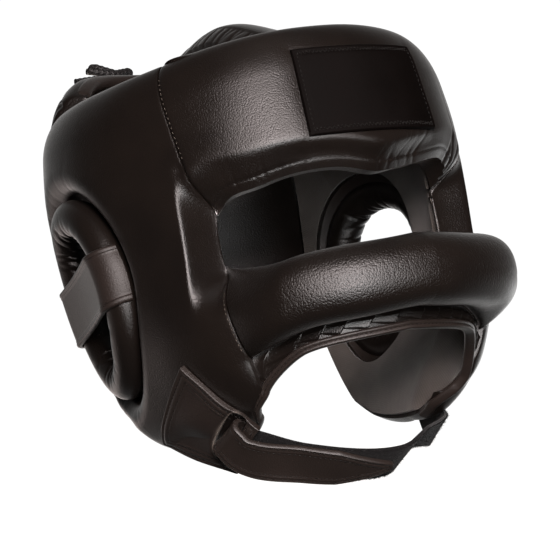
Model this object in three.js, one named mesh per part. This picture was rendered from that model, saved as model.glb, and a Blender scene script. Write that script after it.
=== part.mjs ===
// Boxing head guard with a padded face bar, an open crown and a chin strap.
// Millimetres, +Z up, the face looks along -Y and the wearer's left is +X.
// A place on the guard is a turn in degrees from the face towards the wearer's
// left, a height above the brow, and a depth out from the hollow.
import * as THREE from "three";

const { degToRad, lerp, clamp, smoothstep } = THREE.MathUtils;

// Sizes shared by the pieces
const GAP = 0.3; // between neighbouring pieces
const LEATHER = 1.5; // lining and patch leather
const LIE = 0.8; // under a piece that lies on a padded face
const PAD_DEPTH = 22; // full padding of forehead and sides
const EDGE_DEPTH = 7; // padding left where a pad is sewn off
const ROLL = 26; // width of a rolled pad edge
const DEGREE = 2.05; // length along the shell for one degree of turn
const SEAM_SLIT = 0.3; // turn left open at a seam
const LINING_GAP = 0.6; // between a pad and its lining
const PAD_FLOOR = LEATHER + LINING_GAP; // depth where padding starts over a lining

// Wall of the hollow that the head fills, half width and reach by height;
// square fills the section out between face and side
const HOLLOW = [
  { z: -150, wide: 48, front: 84, back: 62, square: 0.12 },
  { z: -125, wide: 60, front: 89, back: 72, square: 0.13 },
  { z: -80, wide: 77, front: 101, back: 90, square: 0.13 },
  { z: -40, wide: 84, front: 104, back: 104, square: 0.03 },
  { z: 0, wide: 86, front: 101, back: 110, square: 0 },
  { z: 40, wide: 82, front: 91, back: 112, square: 0 },
  { z: 64, wide: 77, front: 84, back: 108, square: 0 },
  { z: 90, wide: 68, front: 74, back: 98, square: 0 },
];

// Forehead pad between the brow edge and the rim, higher on the midline
const FOREHEAD = { browMiddle: -7.5, browCorner: -21, browBend: 6, rimMiddle: 68, rimCorner: 58, columns: 20, rows: 8 };
const FOREHEAD_SEAM = { low: 47, high: 59 }; // turn at the brow corner and at the rim
const BROW_ROLL = 16;
const LINING_DROP = 0.04; // share of the forehead height that the lining hangs under the brow
const PATCH = { low: 7, high: 55, turn: 21.5, columns: 10, rows: 4 };

// Corners of the left side pad, each with the edge that runs on to the next:
// its outward bow, the width of its roll and the share of padding left at the edge
const SIDE_CORNERS = [
  { at: "rim at the forehead", turn: 59, z: 58, steps: 8, bow: -2, roll: ROLL, left: 0 },
  { at: "rim at the back", turn: 128, z: 50, steps: 7, bow: 0, roll: 0, left: 1 },
  { at: "nape", turn: 128, z: -72, steps: 4, bow: 6, roll: ROLL, left: 0 },
  { at: "jaw angle", turn: 104, z: -122, steps: 4, bow: 4, roll: ROLL, left: 0 },
  { at: "jaw", turn: 68, z: -136, steps: 4, bow: 3, roll: ROLL, left: 0 },
  { at: "mouth below", turn: 48.5, z: -124, steps: 4, bow: -1.5, roll: 12, left: 0.8 },
  { at: "mouth above", turn: 42.5, z: -104, steps: 2, bow: 0, roll: 12, left: 0.8 },
  { at: "bar below", turn: 43.5, z: -90, steps: 6, bow: 0, roll: 0, left: 1 },
  { at: "bar above", turn: 47, z: -47, steps: 4, bow: -1, roll: 20, left: 0.2 },
  { at: "eye corner", turn: 47, z: -21, steps: 7, bow: 0, roll: 0, left: 1 },
];
const FLARE = { depth: 15, width: 42, wall: 5 }; // lining carried outwards to the mouth edge
const SIDE_ROWS = [0, 0.06, 0.16, 0.32, 0.5, 0.68, 0.84, 0.94, 1];
const WALL_ROWS = [0, 0.32, 0.68, 1];

// Ear opening, its padded ring and the strap across it
const EAR = { turn: 101, z: -51, long: 43, short: 34, lean: 20, depth: 13, tube: 10 };
const EAR_RING = { stations: 40, sides: 10, gather: 0.9 };
const EAR_HOLE = { room: 1.9, roll: 12, left: 0.3 };
const EAR_STRAP = { wide: 30, thick: 2, hold: 0.9, wrap: 26, arc: 5, across: 4 };

// Face bar from its seam on one cheek to its seam on the other
const BAR = { wide: 77, root: -76, reach: 66, end: 76, stations: 34, sides: 14, square: 2.4, blend: 0.66 };
const BAR_SECTIONS = [
  { along: 0, z: -62, depth: 40, height: 38 },
  { along: 0.55, z: -66, depth: 36, height: 38 },
  { along: 0.88, z: -72, depth: 26, height: 39 },
  { along: 1, z: -68.5, depth: 20, height: 43 },
];

// Gathered facing under the bar, and the bound edge of the mouth opening
const FACING = { wall: 2.4, tuck: 12, under: 16.8, drop: 7, stations: 52, fold: 1.2, rows: [0.04, 0.5, 0.84] };
const BINDING = { wide: 6, thick: 3.4, end: 0.95, low: 0.14, high: 0.62, corner: 1.2, stations: 28, cheekSteps: 4 };

// Back pad, taller than the side pads
const BACK = { seam: 128, depth: 20, edge: 6, columns: 14, rows: 7 };
const BACK_EDGES = { rimSeam: 62, rimMiddle: 77, lowSeam: -72, lowMiddle: -84 };

// Crown strap over the head, centre line from the forehead rim to the back pad
const CROWN = { wide: 36, thick: 9, edge: 4, bow: 6.3, stations: 20, pleat: 0.8, plain: 0.5 };
const CROWN_SHARES = [-1, -0.86, -0.5, 0, 0.5, 0.86, 1]; // across half the width
const CROWN_LINE = [
  { y: -85.5, z: 40 },
  { y: -77.5, z: 59 },
  { y: -37, z: 73 },
  { y: 0, z: 83.5 },
  { y: 22, z: 83 },
  { y: 48, z: 77 },
  { y: 84, z: 68 },
  { y: 103.8, z: 50 },
];

// Lace tied over the top edge of the back pad
const LACE = { radius: 2, sides: 6, stations: 36 };
const LACE_LINE = [
  { x: -42, y: 112, z: 77.4 },
  { x: -32, y: 112.5, z: 78.4 },
  { x: -22, y: 112.5, z: 78.9 },
  { x: -12, y: 114, z: 80.5 },
  { x: -5, y: 117, z: 83 },
  { x: -12, y: 116, z: 86 },
  { x: -20, y: 113, z: 84.5 },
  { x: -28, y: 114, z: 85.5 },
  { x: -35, y: 117, z: 88 },
  { x: -28, y: 116, z: 91 },
  { x: -20, y: 113, z: 89.5 },
  { x: -10, y: 119, z: 87 },
  { x: 2, y: 123, z: 79.5 },
];

// Chin tab, drawn on the left cheek, with the slot near its front edge
const TAB_CORNERS = [
  { at: "sewn above", turn: 64, z: -92, steps: 6 },
  { at: "sewn below", turn: 82, z: -124, steps: 7 },
  { at: "front below", turn: 57, z: -146, steps: 7 },
  { at: "front above", turn: 45, z: -122, steps: 7 },
];
const TAB = { wall: 3, lie: 1.2, sewnDepth: 20, frontDepth: 18.5, rows: [0, 0.16, 0.36, 0.58, 0.8, 1] };
const SLOT = { back: 6.5, half: 5, length: 15.5, round: 5, lead: 3.2 };

// Chin strap, drawn from the slot on the left under the chin to the right cheek
const STRAP = { wide: 22.5, lie: 1.6, thick: 2.2, stations: 30, fold: 6, tail: 84, tailStations: 14, point: 28, tip: 4 };
const STRAP_LAY = { close: 1.3, open: 4.4, near: 14, far: 40 };
const STRAP_UNDER = [
  { x: 30, y: -95, z: -154 },
  { x: 0, y: -103, z: -156 },
  { x: -23, y: -90, z: -148 },
];
const STRAP_SEWN = [
  { turn: -60, z: -138, over: 6 },
  { turn: -71, z: -131, over: 4 },
  { turn: -83, z: -119, over: 1 },
];
const CHIN_FACE = { y: -0.6, z: -0.8 }; // way the strap looks under the chin
const CHIN_TURN = { start: 0.1, chin: 0.45, end: 0.9 }; // shares of its length where its face turns

// Height of the seat on top of the head, under the crown strap
const SEAT = 79.5;

const LEATHER_BLACK = { color: 0x231c19, roughness: 0.5, metalness: 0 };
const LINING_GREY = { color: 0x55534f, roughness: 0.9, metalness: 0 };
const WEB_BLACK = { color: 0x17161a, roughness: 0.85, metalness: 0 };

/** Smooth value of one column of a table at a place between its rows. */
function columnAt(rows, column, place, key = "z") {
  let low = 0;
  while (low < rows.length - 2 && place > rows[low + 1][key]) low += 1;
  const slope = (row) => {
    const before = rows[Math.max(row - 1, 0)];
    const after = rows[Math.min(row + 1, rows.length - 1)];
    return (after[column] - before[column]) / (after[key] - before[key]);
  };
  const span = rows[low + 1][key] - rows[low][key];
  const t = (place - rows[low][key]) / span;
  const rise = rows[low + 1][column] - rows[low][column];
  const lead = t * (1 - t) * (1 - t) * slope(low) * span;
  const trail = t * t * (t - 1) * slope(low + 1) * span;
  return rows[low][column] + rise * t * t * (3 - 2 * t) + lead + trail;
}

/** Point on the wall of the hollow. */
function hollowPoint(turn, z) {
  const angle = degToRad(turn);
  const isFront = Math.cos(angle) > 0;
  const reach = columnAt(HOLLOW, isFront ? "front" : "back", z);
  const fill = 1 + (isFront ? columnAt(HOLLOW, "square", z) * Math.sin(2 * angle) ** 2 : 0);
  return new THREE.Vector3(fill * columnAt(HOLLOW, "wide", z) * Math.sin(angle), -fill * reach * Math.cos(angle), z);
}

/** Direction out of the shell at a place. */
function outward(turn, z) {
  const step = 0.5;
  const along = hollowPoint(turn + step, z).sub(hollowPoint(turn - step, z));
  const upward = hollowPoint(turn, z + step).sub(hollowPoint(turn, z - step));
  return along.cross(upward).normalize();
}

/** Point at a depth out from the hollow. */
function shellPoint(turn, z, depth) {
  return hollowPoint(turn, z).addScaledVector(outward(turn, z), depth);
}

/** Rise of a rolled edge at a distance in from it, 0 at the edge and 1 inside. */
function rolled(distance, width) {
  const left = 1 - clamp(distance / width, 0, 1);
  return Math.sqrt(1 - left * left);
}

/** Even steps from one value to another. */
function steps(from, to, count) {
  return Array.from({ length: count + 1 }, (_, i) => lerp(from, to, i / count));
}

/** Steps crowded towards both ends. */
function crowded(from, to, count) {
  return steps(0, Math.PI, count).map((angle) => lerp(from, to, (1 - Math.cos(angle)) / 2));
}

/** Faces that close a loop, seen from the side it runs counter-clockwise on. */
function capFaces(loop) {
  const normal = new THREE.Vector3();
  loop.forEach((point, i) => {
    normal.add(point.clone().cross(loop[(i + 1) % loop.length]));
  });
  normal.normalize();
  const flat = new THREE.Quaternion().setFromUnitVectors(normal, new THREE.Vector3(0, 0, 1));
  const contour = loop.map((point) => {
    const turned = point.clone().applyQuaternion(flat);
    return new THREE.Vector2(turned.x, turned.y);
  });
  return THREE.ShapeUtils.triangulateShape(contour, []);
}

/** Volume inside indexed faces, negative where they face inwards. */
function volumeOf(points, faces) {
  return faces.reduce((sum, [a, b, c]) => sum + points[a].dot(points[b].clone().cross(points[c])) / 6, 0);
}

/** Closed body through a row of closed loops, capped at both ends unless it comes round. */
function loft(loops, comesRound = false) {
  const sides = loops[0].length;
  const points = loops.flat();
  const faces = [];
  const spans = comesRound ? loops.length : loops.length - 1;
  for (let i = 0; i < spans; i += 1) {
    const here = i * sides;
    const next = ((i + 1) % loops.length) * sides;
    for (let j = 0; j < sides; j += 1) {
      const k = (j + 1) % sides;
      const [a, b, c, d] = [here + j, here + k, next + j, next + k];
      if (points[a].distanceTo(points[d]) <= points[b].distanceTo(points[c])) {
        faces.push([a, c, d], [a, d, b]);
      } else {
        faces.push([a, c, b], [b, c, d]);
      }
    }
  }
  if (!comesRound) {
    const last = points.length - sides;
    capFaces(loops[0]).forEach(([a, b, c]) => faces.push([a, b, c]));
    capFaces(loops[loops.length - 1]).forEach(([a, b, c]) => faces.push([last + a, last + c, last + b]));
  }
  const inwards = volumeOf(points, faces) < 0;
  const geometry = new THREE.BufferGeometry().setFromPoints(points);
  geometry.setIndex(faces.flatMap(([a, b, c]) => (inwards ? [a, c, b] : [a, b, c])));
  geometry.computeVertexNormals();
  return geometry;
}

/** Slab over columns and rows, its outer and inner faces joined along the edges. */
function slab(columns, outerRows, innerRows, point, comesRound = false) {
  const loops = columns.map((column) => [
    ...outerRows.map((row) => point(column, row, true)),
    ...innerRows.toReversed().map((row) => point(column, row, false)),
  ]);
  return loft(loops, comesRound);
}

/** The same body on the other side of the midline. */
function mirrored(geometry) {
  const copy = geometry.clone().applyMatrix4(new THREE.Matrix4().makeScale(-1, 1, 1));
  const index = copy.getIndex();
  for (let i = 0; i < index.count; i += 3) {
    const [b, c] = [index.getX(i + 1), index.getX(i + 2)];
    index.setX(i + 1, c);
    index.setX(i + 2, b);
  }
  copy.computeVertexNormals();
  return copy;
}

/** Piece with a plain name and a finish. */
function piece(name, geometry, finish) {
  const mesh = new THREE.Mesh(geometry, new THREE.MeshStandardMaterial(finish));
  mesh.name = name;
  return mesh;
}

// Forehead

/** Brow and rim heights of the forehead at a share of its half width. */
function foreheadEdges(share) {
  const brow = lerp(FOREHEAD.browMiddle, FOREHEAD.browCorner, Math.abs(share) ** FOREHEAD.browBend);
  const rim = lerp(FOREHEAD.rimMiddle, FOREHEAD.rimCorner, share * share);
  return { brow, rim };
}

/** Turn of the seam between forehead and side pad at a height. */
function seamTurn(z) {
  const up = (z - FOREHEAD.browCorner) / (FOREHEAD.rimCorner - FOREHEAD.browCorner);
  return lerp(FOREHEAD_SEAM.low, FOREHEAD_SEAM.high, up);
}

/** Padding depth of the forehead, rolled at the rim and at the brow. */
function foreheadDepth(turn, z) {
  const { brow, rim } = foreheadEdges(turn / seamTurn(z));
  return lerp(EDGE_DEPTH, PAD_DEPTH, rolled(rim - z, ROLL) * rolled(z - brow, BROW_ROLL));
}

function foreheadPlace(share, up) {
  const { brow, rim } = foreheadEdges(share);
  const z = lerp(brow, rim, up);
  return { turn: share * (seamTurn(z) - SEAM_SLIT), z };
}

function foreheadPad() {
  return slab(steps(-1, 1, FOREHEAD.columns), crowded(0, 1, FOREHEAD.rows), WALL_ROWS, (share, up, isOuter) => {
    const { turn, z } = foreheadPlace(share, up);
    return shellPoint(turn, z, isOuter ? foreheadDepth(turn, z) : PAD_FLOOR);
  });
}

function foreheadLining() {
  const rows = [-LINING_DROP, ...WALL_ROWS];
  return slab(steps(-1, 1, FOREHEAD.columns), rows, rows, (share, up, isOuter) => {
    const { turn, z } = foreheadPlace(share, up);
    return shellPoint(turn, z, isOuter ? LEATHER : 0);
  });
}

function foreheadPatch() {
  const rows = steps(PATCH.low, PATCH.high, PATCH.rows);
  return slab(steps(-PATCH.turn, PATCH.turn, PATCH.columns), rows, rows, (turn, z, isOuter) => {
    const depth = foreheadDepth(turn, z) + LIE;
    return shellPoint(turn, z, isOuter ? depth + LEATHER : depth);
  });
}

// Side pads

/** Flat place of a turn and height, in millimetres. */
function flatPlace({ turn, z }) {
  return new THREE.Vector2(turn * DEGREE, z);
}

/** Edges round a list of corners, each with its points and its roll. */
function outlineEdges(corners) {
  return corners.map((corner, i) => {
    const from = flatPlace(corner);
    const to = flatPlace(corners[(i + 1) % corners.length]);
    const run = to.clone().sub(from).normalize();
    const bend = new THREE.Vector2(-run.y, run.x).multiplyScalar(2 * (corner.bow ?? 0));
    const middle = from.clone().add(to).multiplyScalar(0.5).add(bend);
    const curve = new THREE.QuadraticBezierCurve(from, middle, to);
    return { ...corner, points: curve.getPoints(corner.steps) };
  });
}

/** Points round an outline, each corner once. */
function outlinePoints(edges) {
  return edges.flatMap((edge) => edge.points.slice(0, -1));
}

const sideEdges = outlineEdges(SIDE_CORNERS);
const mouthEdges = sideEdges.filter((edge) => edge.at.startsWith("mouth"));
const earMiddle = flatPlace(EAR);

/** Share of the way from the ear middle to a flat place where the ear hole ends. */
function earShare(place) {
  const arm = place.clone().sub(earMiddle).rotateAround(new THREE.Vector2(), degToRad(EAR.lean));
  const reach = EAR.tube + EAR_HOLE.room;
  return 1 / Math.hypot(arm.x / (EAR.short + reach), arm.y / (EAR.long + reach));
}

/** Distance of a flat place from a run of points. */
function runDistance(place, points) {
  const nearest = new THREE.Vector3();
  const spot = new THREE.Vector3(place.x, place.y, 0);
  const gaps = points.slice(0, -1).map((from, i) => {
    const to = points[i + 1];
    const line = new THREE.Line3(new THREE.Vector3(from.x, from.y, 0), new THREE.Vector3(to.x, to.y, 0));
    return line.closestPointToPoint(spot, true, nearest).distanceTo(spot);
  });
  return Math.min(...gaps);
}

/** Whether a flat place lies within a closed run of points. */
function isWithin(place, points) {
  return points.filter((from, i) => {
    const to = points[(i + 1) % points.length];
    const isCrossed = from.y > place.y !== to.y > place.y;
    return isCrossed && place.x < from.x + ((place.y - from.y) * (to.x - from.x)) / (to.y - from.y);
  }).length % 2 === 1;
}

/** Padding depth of a side pad at a flat place, rolled at its open edges and round the ear. */
function sideDepth(place) {
  const rise = sideEdges.filter((edge) => edge.roll > 0).reduce((height, edge) => {
    const distance = runDistance(place, edge.points);
    return height * lerp(edge.left, 1, rolled(distance, edge.roll));
  }, 1);
  const fromEar = place.distanceTo(earMiddle) * (1 - earShare(place));
  return lerp(EDGE_DEPTH, PAD_DEPTH, rise * lerp(EAR_HOLE.left, 1, rolled(fromEar, EAR_HOLE.roll)));
}

/** Depth where the padding of a side starts, carried outwards to the mouth edge. */
function sideFloor(place) {
  const near = Math.min(...mouthEdges.map((edge) => runDistance(place, edge.points)));
  const flared = FLARE.depth * (1 - smoothstep(near, 0, FLARE.width));
  return Math.max(PAD_FLOOR, Math.min(flared, sideDepth(place) - FLARE.wall));
}

/** Slab between the ear hole and the outline of the side, by a depth for each face. */
function sideSlab(outerRows, depthAt) {
  return slab(outlinePoints(sideEdges), outerRows, WALL_ROWS, (edge, row, isOuter) => {
    const place = earMiddle.clone().lerp(edge, lerp(earShare(edge), 1, row));
    return shellPoint(place.x / DEGREE, place.y, depthAt(place, isOuter));
  }, true);
}

function sidePad() {
  return sideSlab(SIDE_ROWS, (place, isOuter) => (isOuter ? sideDepth(place) : sideFloor(place)));
}

function sideLining() {
  return sideSlab(WALL_ROWS, (place, isOuter) => sideFloor(place) - (isOuter ? LINING_GAP : PAD_FLOOR));
}

// Ear rings and straps

/** Turn and height on the ring's centre line, by the angle from its upper end. */
function earPlace(angle) {
  const arm = new THREE.Vector2(EAR.short * Math.sin(angle), EAR.long * Math.cos(angle));
  arm.rotateAround(new THREE.Vector2(), -degToRad(EAR.lean)).add(earMiddle);
  return { turn: arm.x / DEGREE, z: arm.y };
}

function earCentre(angle) {
  const { turn, z } = earPlace(angle);
  return shellPoint(turn, z, EAR.depth);
}

function earRing() {
  const turnStep = (2 * Math.PI) / EAR_RING.stations;
  const loops = Array.from({ length: EAR_RING.stations }, (_, i) => {
    const angle = i * turnStep;
    const { turn, z } = earPlace(angle);
    const out = outward(turn, z);
    const along = earCentre(angle + turnStep / 2).sub(earCentre(angle - turnStep / 2)).normalize();
    const away = out.clone().cross(along).normalize();
    const ends = Math.cos(angle) ** 2;
    return Array.from({ length: EAR_RING.sides }, (_, j) => {
      const around = (2 * Math.PI * j) / EAR_RING.sides;
      const inner = Math.max(0, Math.cos(around));
      const tuck = i % 2 === 0 ? EAR_RING.gather * inner * ends : 0;
      const radius = EAR.tube - tuck;
      return earCentre(angle)
        .addScaledVector(away, radius * Math.cos(around))
        .addScaledVector(out, radius * Math.sin(around));
    });
  });
  return loft(loops, true);
}

function earStrap() {
  const { turn, z } = EAR;
  const out = outward(turn, z);
  const hold = EAR.tube + EAR_STRAP.hold;
  const shares = steps(-0.5, 0.5, EAR_STRAP.across);
  const angles = steps(EAR_STRAP.wrap, 90, EAR_STRAP.arc);
  const stations = [
    ...angles.map((angle) => ({ arm: 1, angle })),
    ...angles.toReversed().map((angle) => ({ arm: -1, angle })),
  ];
  return slab(stations, shares, shares, ({ arm, angle }, share, isOuter) => {
    const slide = Math.asin((share * EAR_STRAP.wide) / EAR.long);
    const rear = earCentre(Math.PI / 2 - slide);
    const front = earCentre(-Math.PI / 2 + slide);
    const forward = front.clone().sub(rear).normalize();
    const lift = out.clone().addScaledVector(forward, -out.dot(forward)).normalize();
    const radius = hold + (isOuter ? EAR_STRAP.thick : 0);
    return (arm > 0 ? front : rear)
      .clone()
      .addScaledVector(forward, arm * radius * Math.cos(degToRad(angle)))
      .addScaledVector(lift, radius * Math.sin(degToRad(angle)));
  });
}

// Face bar, its facing and the mouth binding

/** Centre, outward direction and section of the bar at a share of its half length. */
function barLine(share) {
  const angle = degToRad(share * BAR.end);
  const [z, depth, height] = ["z", "depth", "height"].map((column) =>
    columnAt(BAR_SECTIONS, column, Math.abs(share), "along"));
  const centre = new THREE.Vector3(BAR.wide * Math.sin(angle), BAR.root - BAR.reach * Math.cos(angle), z);
  const out = new THREE.Vector3(Math.sin(angle) / BAR.wide, -Math.cos(angle) / BAR.reach, 0).normalize();
  return { centre, out, depth, height };
}

/** Point of a squared round at an angle, one unit in half width. */
function squaredRound(angle, power) {
  const bend = (value) => Math.sign(value) * Math.abs(value) ** (2 / power);
  return new THREE.Vector2(bend(Math.cos(angle)), bend(Math.sin(angle)));
}

/** Share that the cheek seam has in the bar and its facing. */
function seamShare(share) {
  return smoothstep(Math.abs(share), BAR.blend, 1);
}

/** Point beside an edge of a side pad, by the way up the edge and the way out through its wall. */
function cheekPoint(edge, up, out, side, aside) {
  const [from, to] = [edge.points[0], edge.points[edge.points.length - 1]];
  const place = from.clone().lerp(to, up);
  const depth = lerp(sideFloor(place), sideDepth(place), out);
  const run = to.clone().sub(from).normalize();
  place.add(new THREE.Vector2(-run.y, run.x).multiplyScalar(aside));
  return shellPoint((side * place.x) / DEGREE, place.y, depth);
}

const barSeam = sideEdges.find((edge) => edge.at === "bar below");
const facingSeam = sideEdges.find((edge) => edge.at === "mouth above");
const mouthSeam = sideEdges.find((edge) => edge.at === "mouth below");

function faceBar() {
  const loops = steps(-1, 1, BAR.stations).map((share) => {
    const { centre, out, depth, height } = barLine(share);
    return Array.from({ length: BAR.sides }, (_, j) => {
      const round = squaredRound((2 * Math.PI * j) / BAR.sides, BAR.square);
      const free = centre.clone().addScaledVector(out, (round.x * depth) / 2);
      free.z += (round.y * height) / 2;
      const seam = cheekPoint(barSeam, (round.y + 1) / 2, (round.x + 1) / 2, Math.sign(share), 2 * GAP);
      return free.lerp(seam, seamShare(share));
    });
  });
  return loft(loops);
}

/** Place on the facing, from the bar down to the mouth edge, at a distance out of its middle. */
function facingPoint(share, down, out) {
  const line = barLine(share);
  const free = line.centre.clone().addScaledVector(line.out, out - FACING.tuck);
  free.z -= (FACING.under * line.height) / BAR_SECTIONS[0].height + down * FACING.drop;
  const seam = cheekPoint(facingSeam, 1 - down, 0.5, Math.sign(share), 4 * GAP);
  return free.lerp(seam.addScaledVector(line.out, out), seamShare(share));
}

function barFacing() {
  const stations = Array.from({ length: FACING.stations + 1 }, (_, i) => i);
  return slab(stations, FACING.rows, FACING.rows, (i, down, isOuter) => {
    const isEnd = i === 0 || i === FACING.stations;
    const fold = isEnd || down !== FACING.rows[1] ? 0 : FACING.fold * (i % 2 === 0 ? 1 : -1);
    const out = fold + (isOuter ? FACING.wall / 2 : -FACING.wall / 2);
    return facingPoint(lerp(-1, 1, i / FACING.stations), down, out);
  });
}

function mouthBinding() {
  const lift = BINDING.thick / 2 + GAP;
  const cheek = (side) => steps(BINDING.low, BINDING.high, BINDING.cheekSteps).map((up) => {
    const inner = cheekPoint(mouthSeam, up, 0, side, lift);
    const outer = cheekPoint(mouthSeam, up, 1, side, lift);
    return { centre: inner.clone().lerp(outer, 0.5), out: outer.sub(inner).normalize() };
  });
  const under = steps(-BINDING.end, BINDING.end, BINDING.stations).map((share) => {
    const centre = facingPoint(share, 1, 0);
    centre.z -= lift * (1 + BINDING.corner * seamShare(share));
    const wall = cheekPoint(facingSeam, 0, 1, Math.sign(share), 0).sub(cheekPoint(facingSeam, 0, 0, Math.sign(share), 0));
    return { centre, out: barLine(share).out.lerp(wall.normalize(), seamShare(share)) };
  });
  return ribbon([...cheek(-1), ...under, ...cheek(1).toReversed()], () => BINDING.wide, BINDING.thick);
}

/** Flat strip along stations, each with its centre and one direction; wide along it, thick across. */
function ribbon(stations, wideAt, thick) {
  const loops = stations.map(({ centre, out }, i) => {
    const before = stations[Math.max(i - 1, 0)].centre;
    const after = stations[Math.min(i + 1, stations.length - 1)].centre;
    const along = after.clone().sub(before).normalize();
    const wideway = out.clone().addScaledVector(along, -out.dot(along)).normalize();
    const thickway = along.clone().cross(wideway);
    const half = wideAt(i) / 2;
    return [[1, 1], [-1, 1], [-1, -1], [1, -1]].map(([wideSign, thickSign]) =>
      centre.clone().addScaledVector(wideway, wideSign * half).addScaledVector(thickway, (thickSign * thick) / 2));
  });
  return loft(loops);
}

// Back and crown

function backPad() {
  const half = 180 - BACK.seam - 2 * SEAM_SLIT;
  const rows = crowded(0, 1, BACK.rows);
  return slab(steps(-1, 1, BACK.columns), rows, WALL_ROWS, (share, up, isOuter) => {
    const low = lerp(BACK_EDGES.lowMiddle, BACK_EDGES.lowSeam, share * share);
    const rim = lerp(BACK_EDGES.rimMiddle, BACK_EDGES.rimSeam, share ** 4);
    const z = lerp(low, rim, up);
    const rise = rolled(rim - z, ROLL) * rolled(z - low, ROLL);
    return shellPoint(180 + share * half, z, isOuter ? lerp(BACK.edge, BACK.depth, rise) : 0);
  });
}

function crownStrap() {
  const line = new THREE.CatmullRomCurve3(CROWN_LINE.map(({ y, z }) => new THREE.Vector3(0, y, z)));
  const sideways = new THREE.Vector3(1, 0, 0);
  const stations = Array.from({ length: CROWN.stations + 1 }, (_, i) => i);
  return slab(stations, CROWN_SHARES, CROWN_SHARES, (i, share, isOuter) => {
    const t = i / CROWN.stations;
    const up = sideways.clone().cross(line.getTangentAt(t));
    const swell = lerp(CROWN.thick, CROWN.edge, Math.abs(share) ** 3) / 2;
    const pleat = isOuter || Math.abs(share) < CROWN.plain ? 0 : CROWN.pleat * (i % 2);
    return line.getPointAt(t)
      .addScaledVector(sideways, (share * CROWN.wide) / 2)
      .addScaledVector(up, (isOuter ? swell : pleat - swell) - CROWN.bow * share * share);
  });
}

function crownLace() {
  const line = new THREE.CatmullRomCurve3(LACE_LINE.map(({ x, y, z }) => new THREE.Vector3(x, y, z)));
  const back = new THREE.Vector3(0, 1, 0);
  const loops = steps(0, 1, LACE.stations).map((t) => {
    const along = line.getTangentAt(t);
    const first = back.clone().addScaledVector(along, -back.dot(along)).normalize();
    const second = along.clone().cross(first);
    return steps(0, 2 * Math.PI, LACE.sides).slice(0, -1).map((angle) =>
      line.getPointAt(t)
        .addScaledVector(first, LACE.radius * Math.cos(angle))
        .addScaledVector(second, LACE.radius * Math.sin(angle)));
  });
  return loft(loops);
}

// Chin tab and strap

const tabEdges = outlineEdges(TAB_CORNERS);
const [tabSewnTop, tabSewnLow, tabFrontLow, tabFrontTop] = TAB_CORNERS.map(flatPlace);
const tabFront = tabFrontLow.clone().lerp(tabFrontTop, 0.5);
const tabSewn = tabSewnTop.clone().lerp(tabSewnLow, 0.5);
const slotAcross = tabFrontTop.clone().sub(tabFrontLow).normalize();
const slotAlong = new THREE.Vector2(-slotAcross.y, slotAcross.x);
const tabLength = tabSewn.clone().sub(tabFront).dot(slotAlong);
const slotMiddle = tabFront.clone().addScaledVector(slotAlong, Math.sign(tabLength) * (SLOT.back + SLOT.half));

/** Padding under a place on a cheek or just past its edge. */
function cheekDepth(place) {
  return isWithin(place, outlinePoints(sideEdges)) ? sideDepth(place) : EDGE_DEPTH;
}

/** Depth under the tab, laid over a cheek and pulled straight past its edge. */
function tabDepth(place) {
  const back = place.clone().sub(tabFront).dot(slotAlong) / tabLength;
  return Math.max(cheekDepth(place), lerp(TAB.frontDepth, TAB.sewnDepth, clamp(back, 0, 1))) + TAB.lie;
}

/** Point in the wall of the tab, 0 under it and 1 on top. */
function tabPoint(place, out) {
  return shellPoint(place.x / DEGREE, place.y, tabDepth(place) + out * TAB.wall);
}

function chinTab() {
  return slab(outlinePoints(tabEdges), TAB.rows, TAB.rows, (edge, row, isOuter) => {
    const arm = edge.clone().sub(slotMiddle);
    const [along, across] = [arm.dot(slotAlong) / SLOT.half, arm.dot(slotAcross) / SLOT.length];
    const slotShare = (Math.abs(along) ** SLOT.round + Math.abs(across) ** SLOT.round) ** (-1 / SLOT.round);
    return tabPoint(slotMiddle.clone().lerp(edge, lerp(slotShare, 1, row)), isOuter ? 1 : 0);
  }, true);
}

/** Centre line of the strap from the slot to its sewn end, with the way its face looks. */
function strapLine() {
  const slot = tabPoint(slotMiddle.clone().lerp(tabFront, SLOT.lead / (SLOT.back + SLOT.half)), 0.5);
  const front = tabPoint(tabFront, 0.5);
  const ahead = front.clone().sub(slot);
  const across = tabPoint(tabFrontTop, 0.5).sub(tabPoint(tabFrontLow, 0.5));
  const under = STRAP_UNDER.map(({ x, y, z }) => new THREE.Vector3(x, y, z));
  const rise = STRAP.lie + STRAP.thick / 2 + STRAP_LAY.close;
  const sewn = STRAP_SEWN.map(({ turn, z, over }) =>
    shellPoint(turn, z, cheekDepth(flatPlace({ turn: -turn, z })) + rise + over));
  const curve = new THREE.CatmullRomCurve3([slot, front, ...under, ...sewn]);
  const first = across.clone().cross(ahead).normalize();
  if (first.dot(outward(slotMiddle.x / DEGREE, slotMiddle.y)) < 0) first.negate();
  const chin = new THREE.Vector3(0, CHIN_FACE.y, CHIN_FACE.z).normalize();
  const last = outward(STRAP_SEWN[2].turn, STRAP_SEWN[2].z);
  const faceAt = (t) => {
    const face = first.clone()
      .lerp(chin, smoothstep(t, CHIN_TURN.start, CHIN_TURN.chin))
      .lerp(last, smoothstep(t, CHIN_TURN.chin, CHIN_TURN.end));
    const along = curve.getTangentAt(t);
    return face.addScaledVector(along, -face.dot(along)).normalize();
  };
  return { curve, faceAt, length: curve.getLength() };
}

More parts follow.
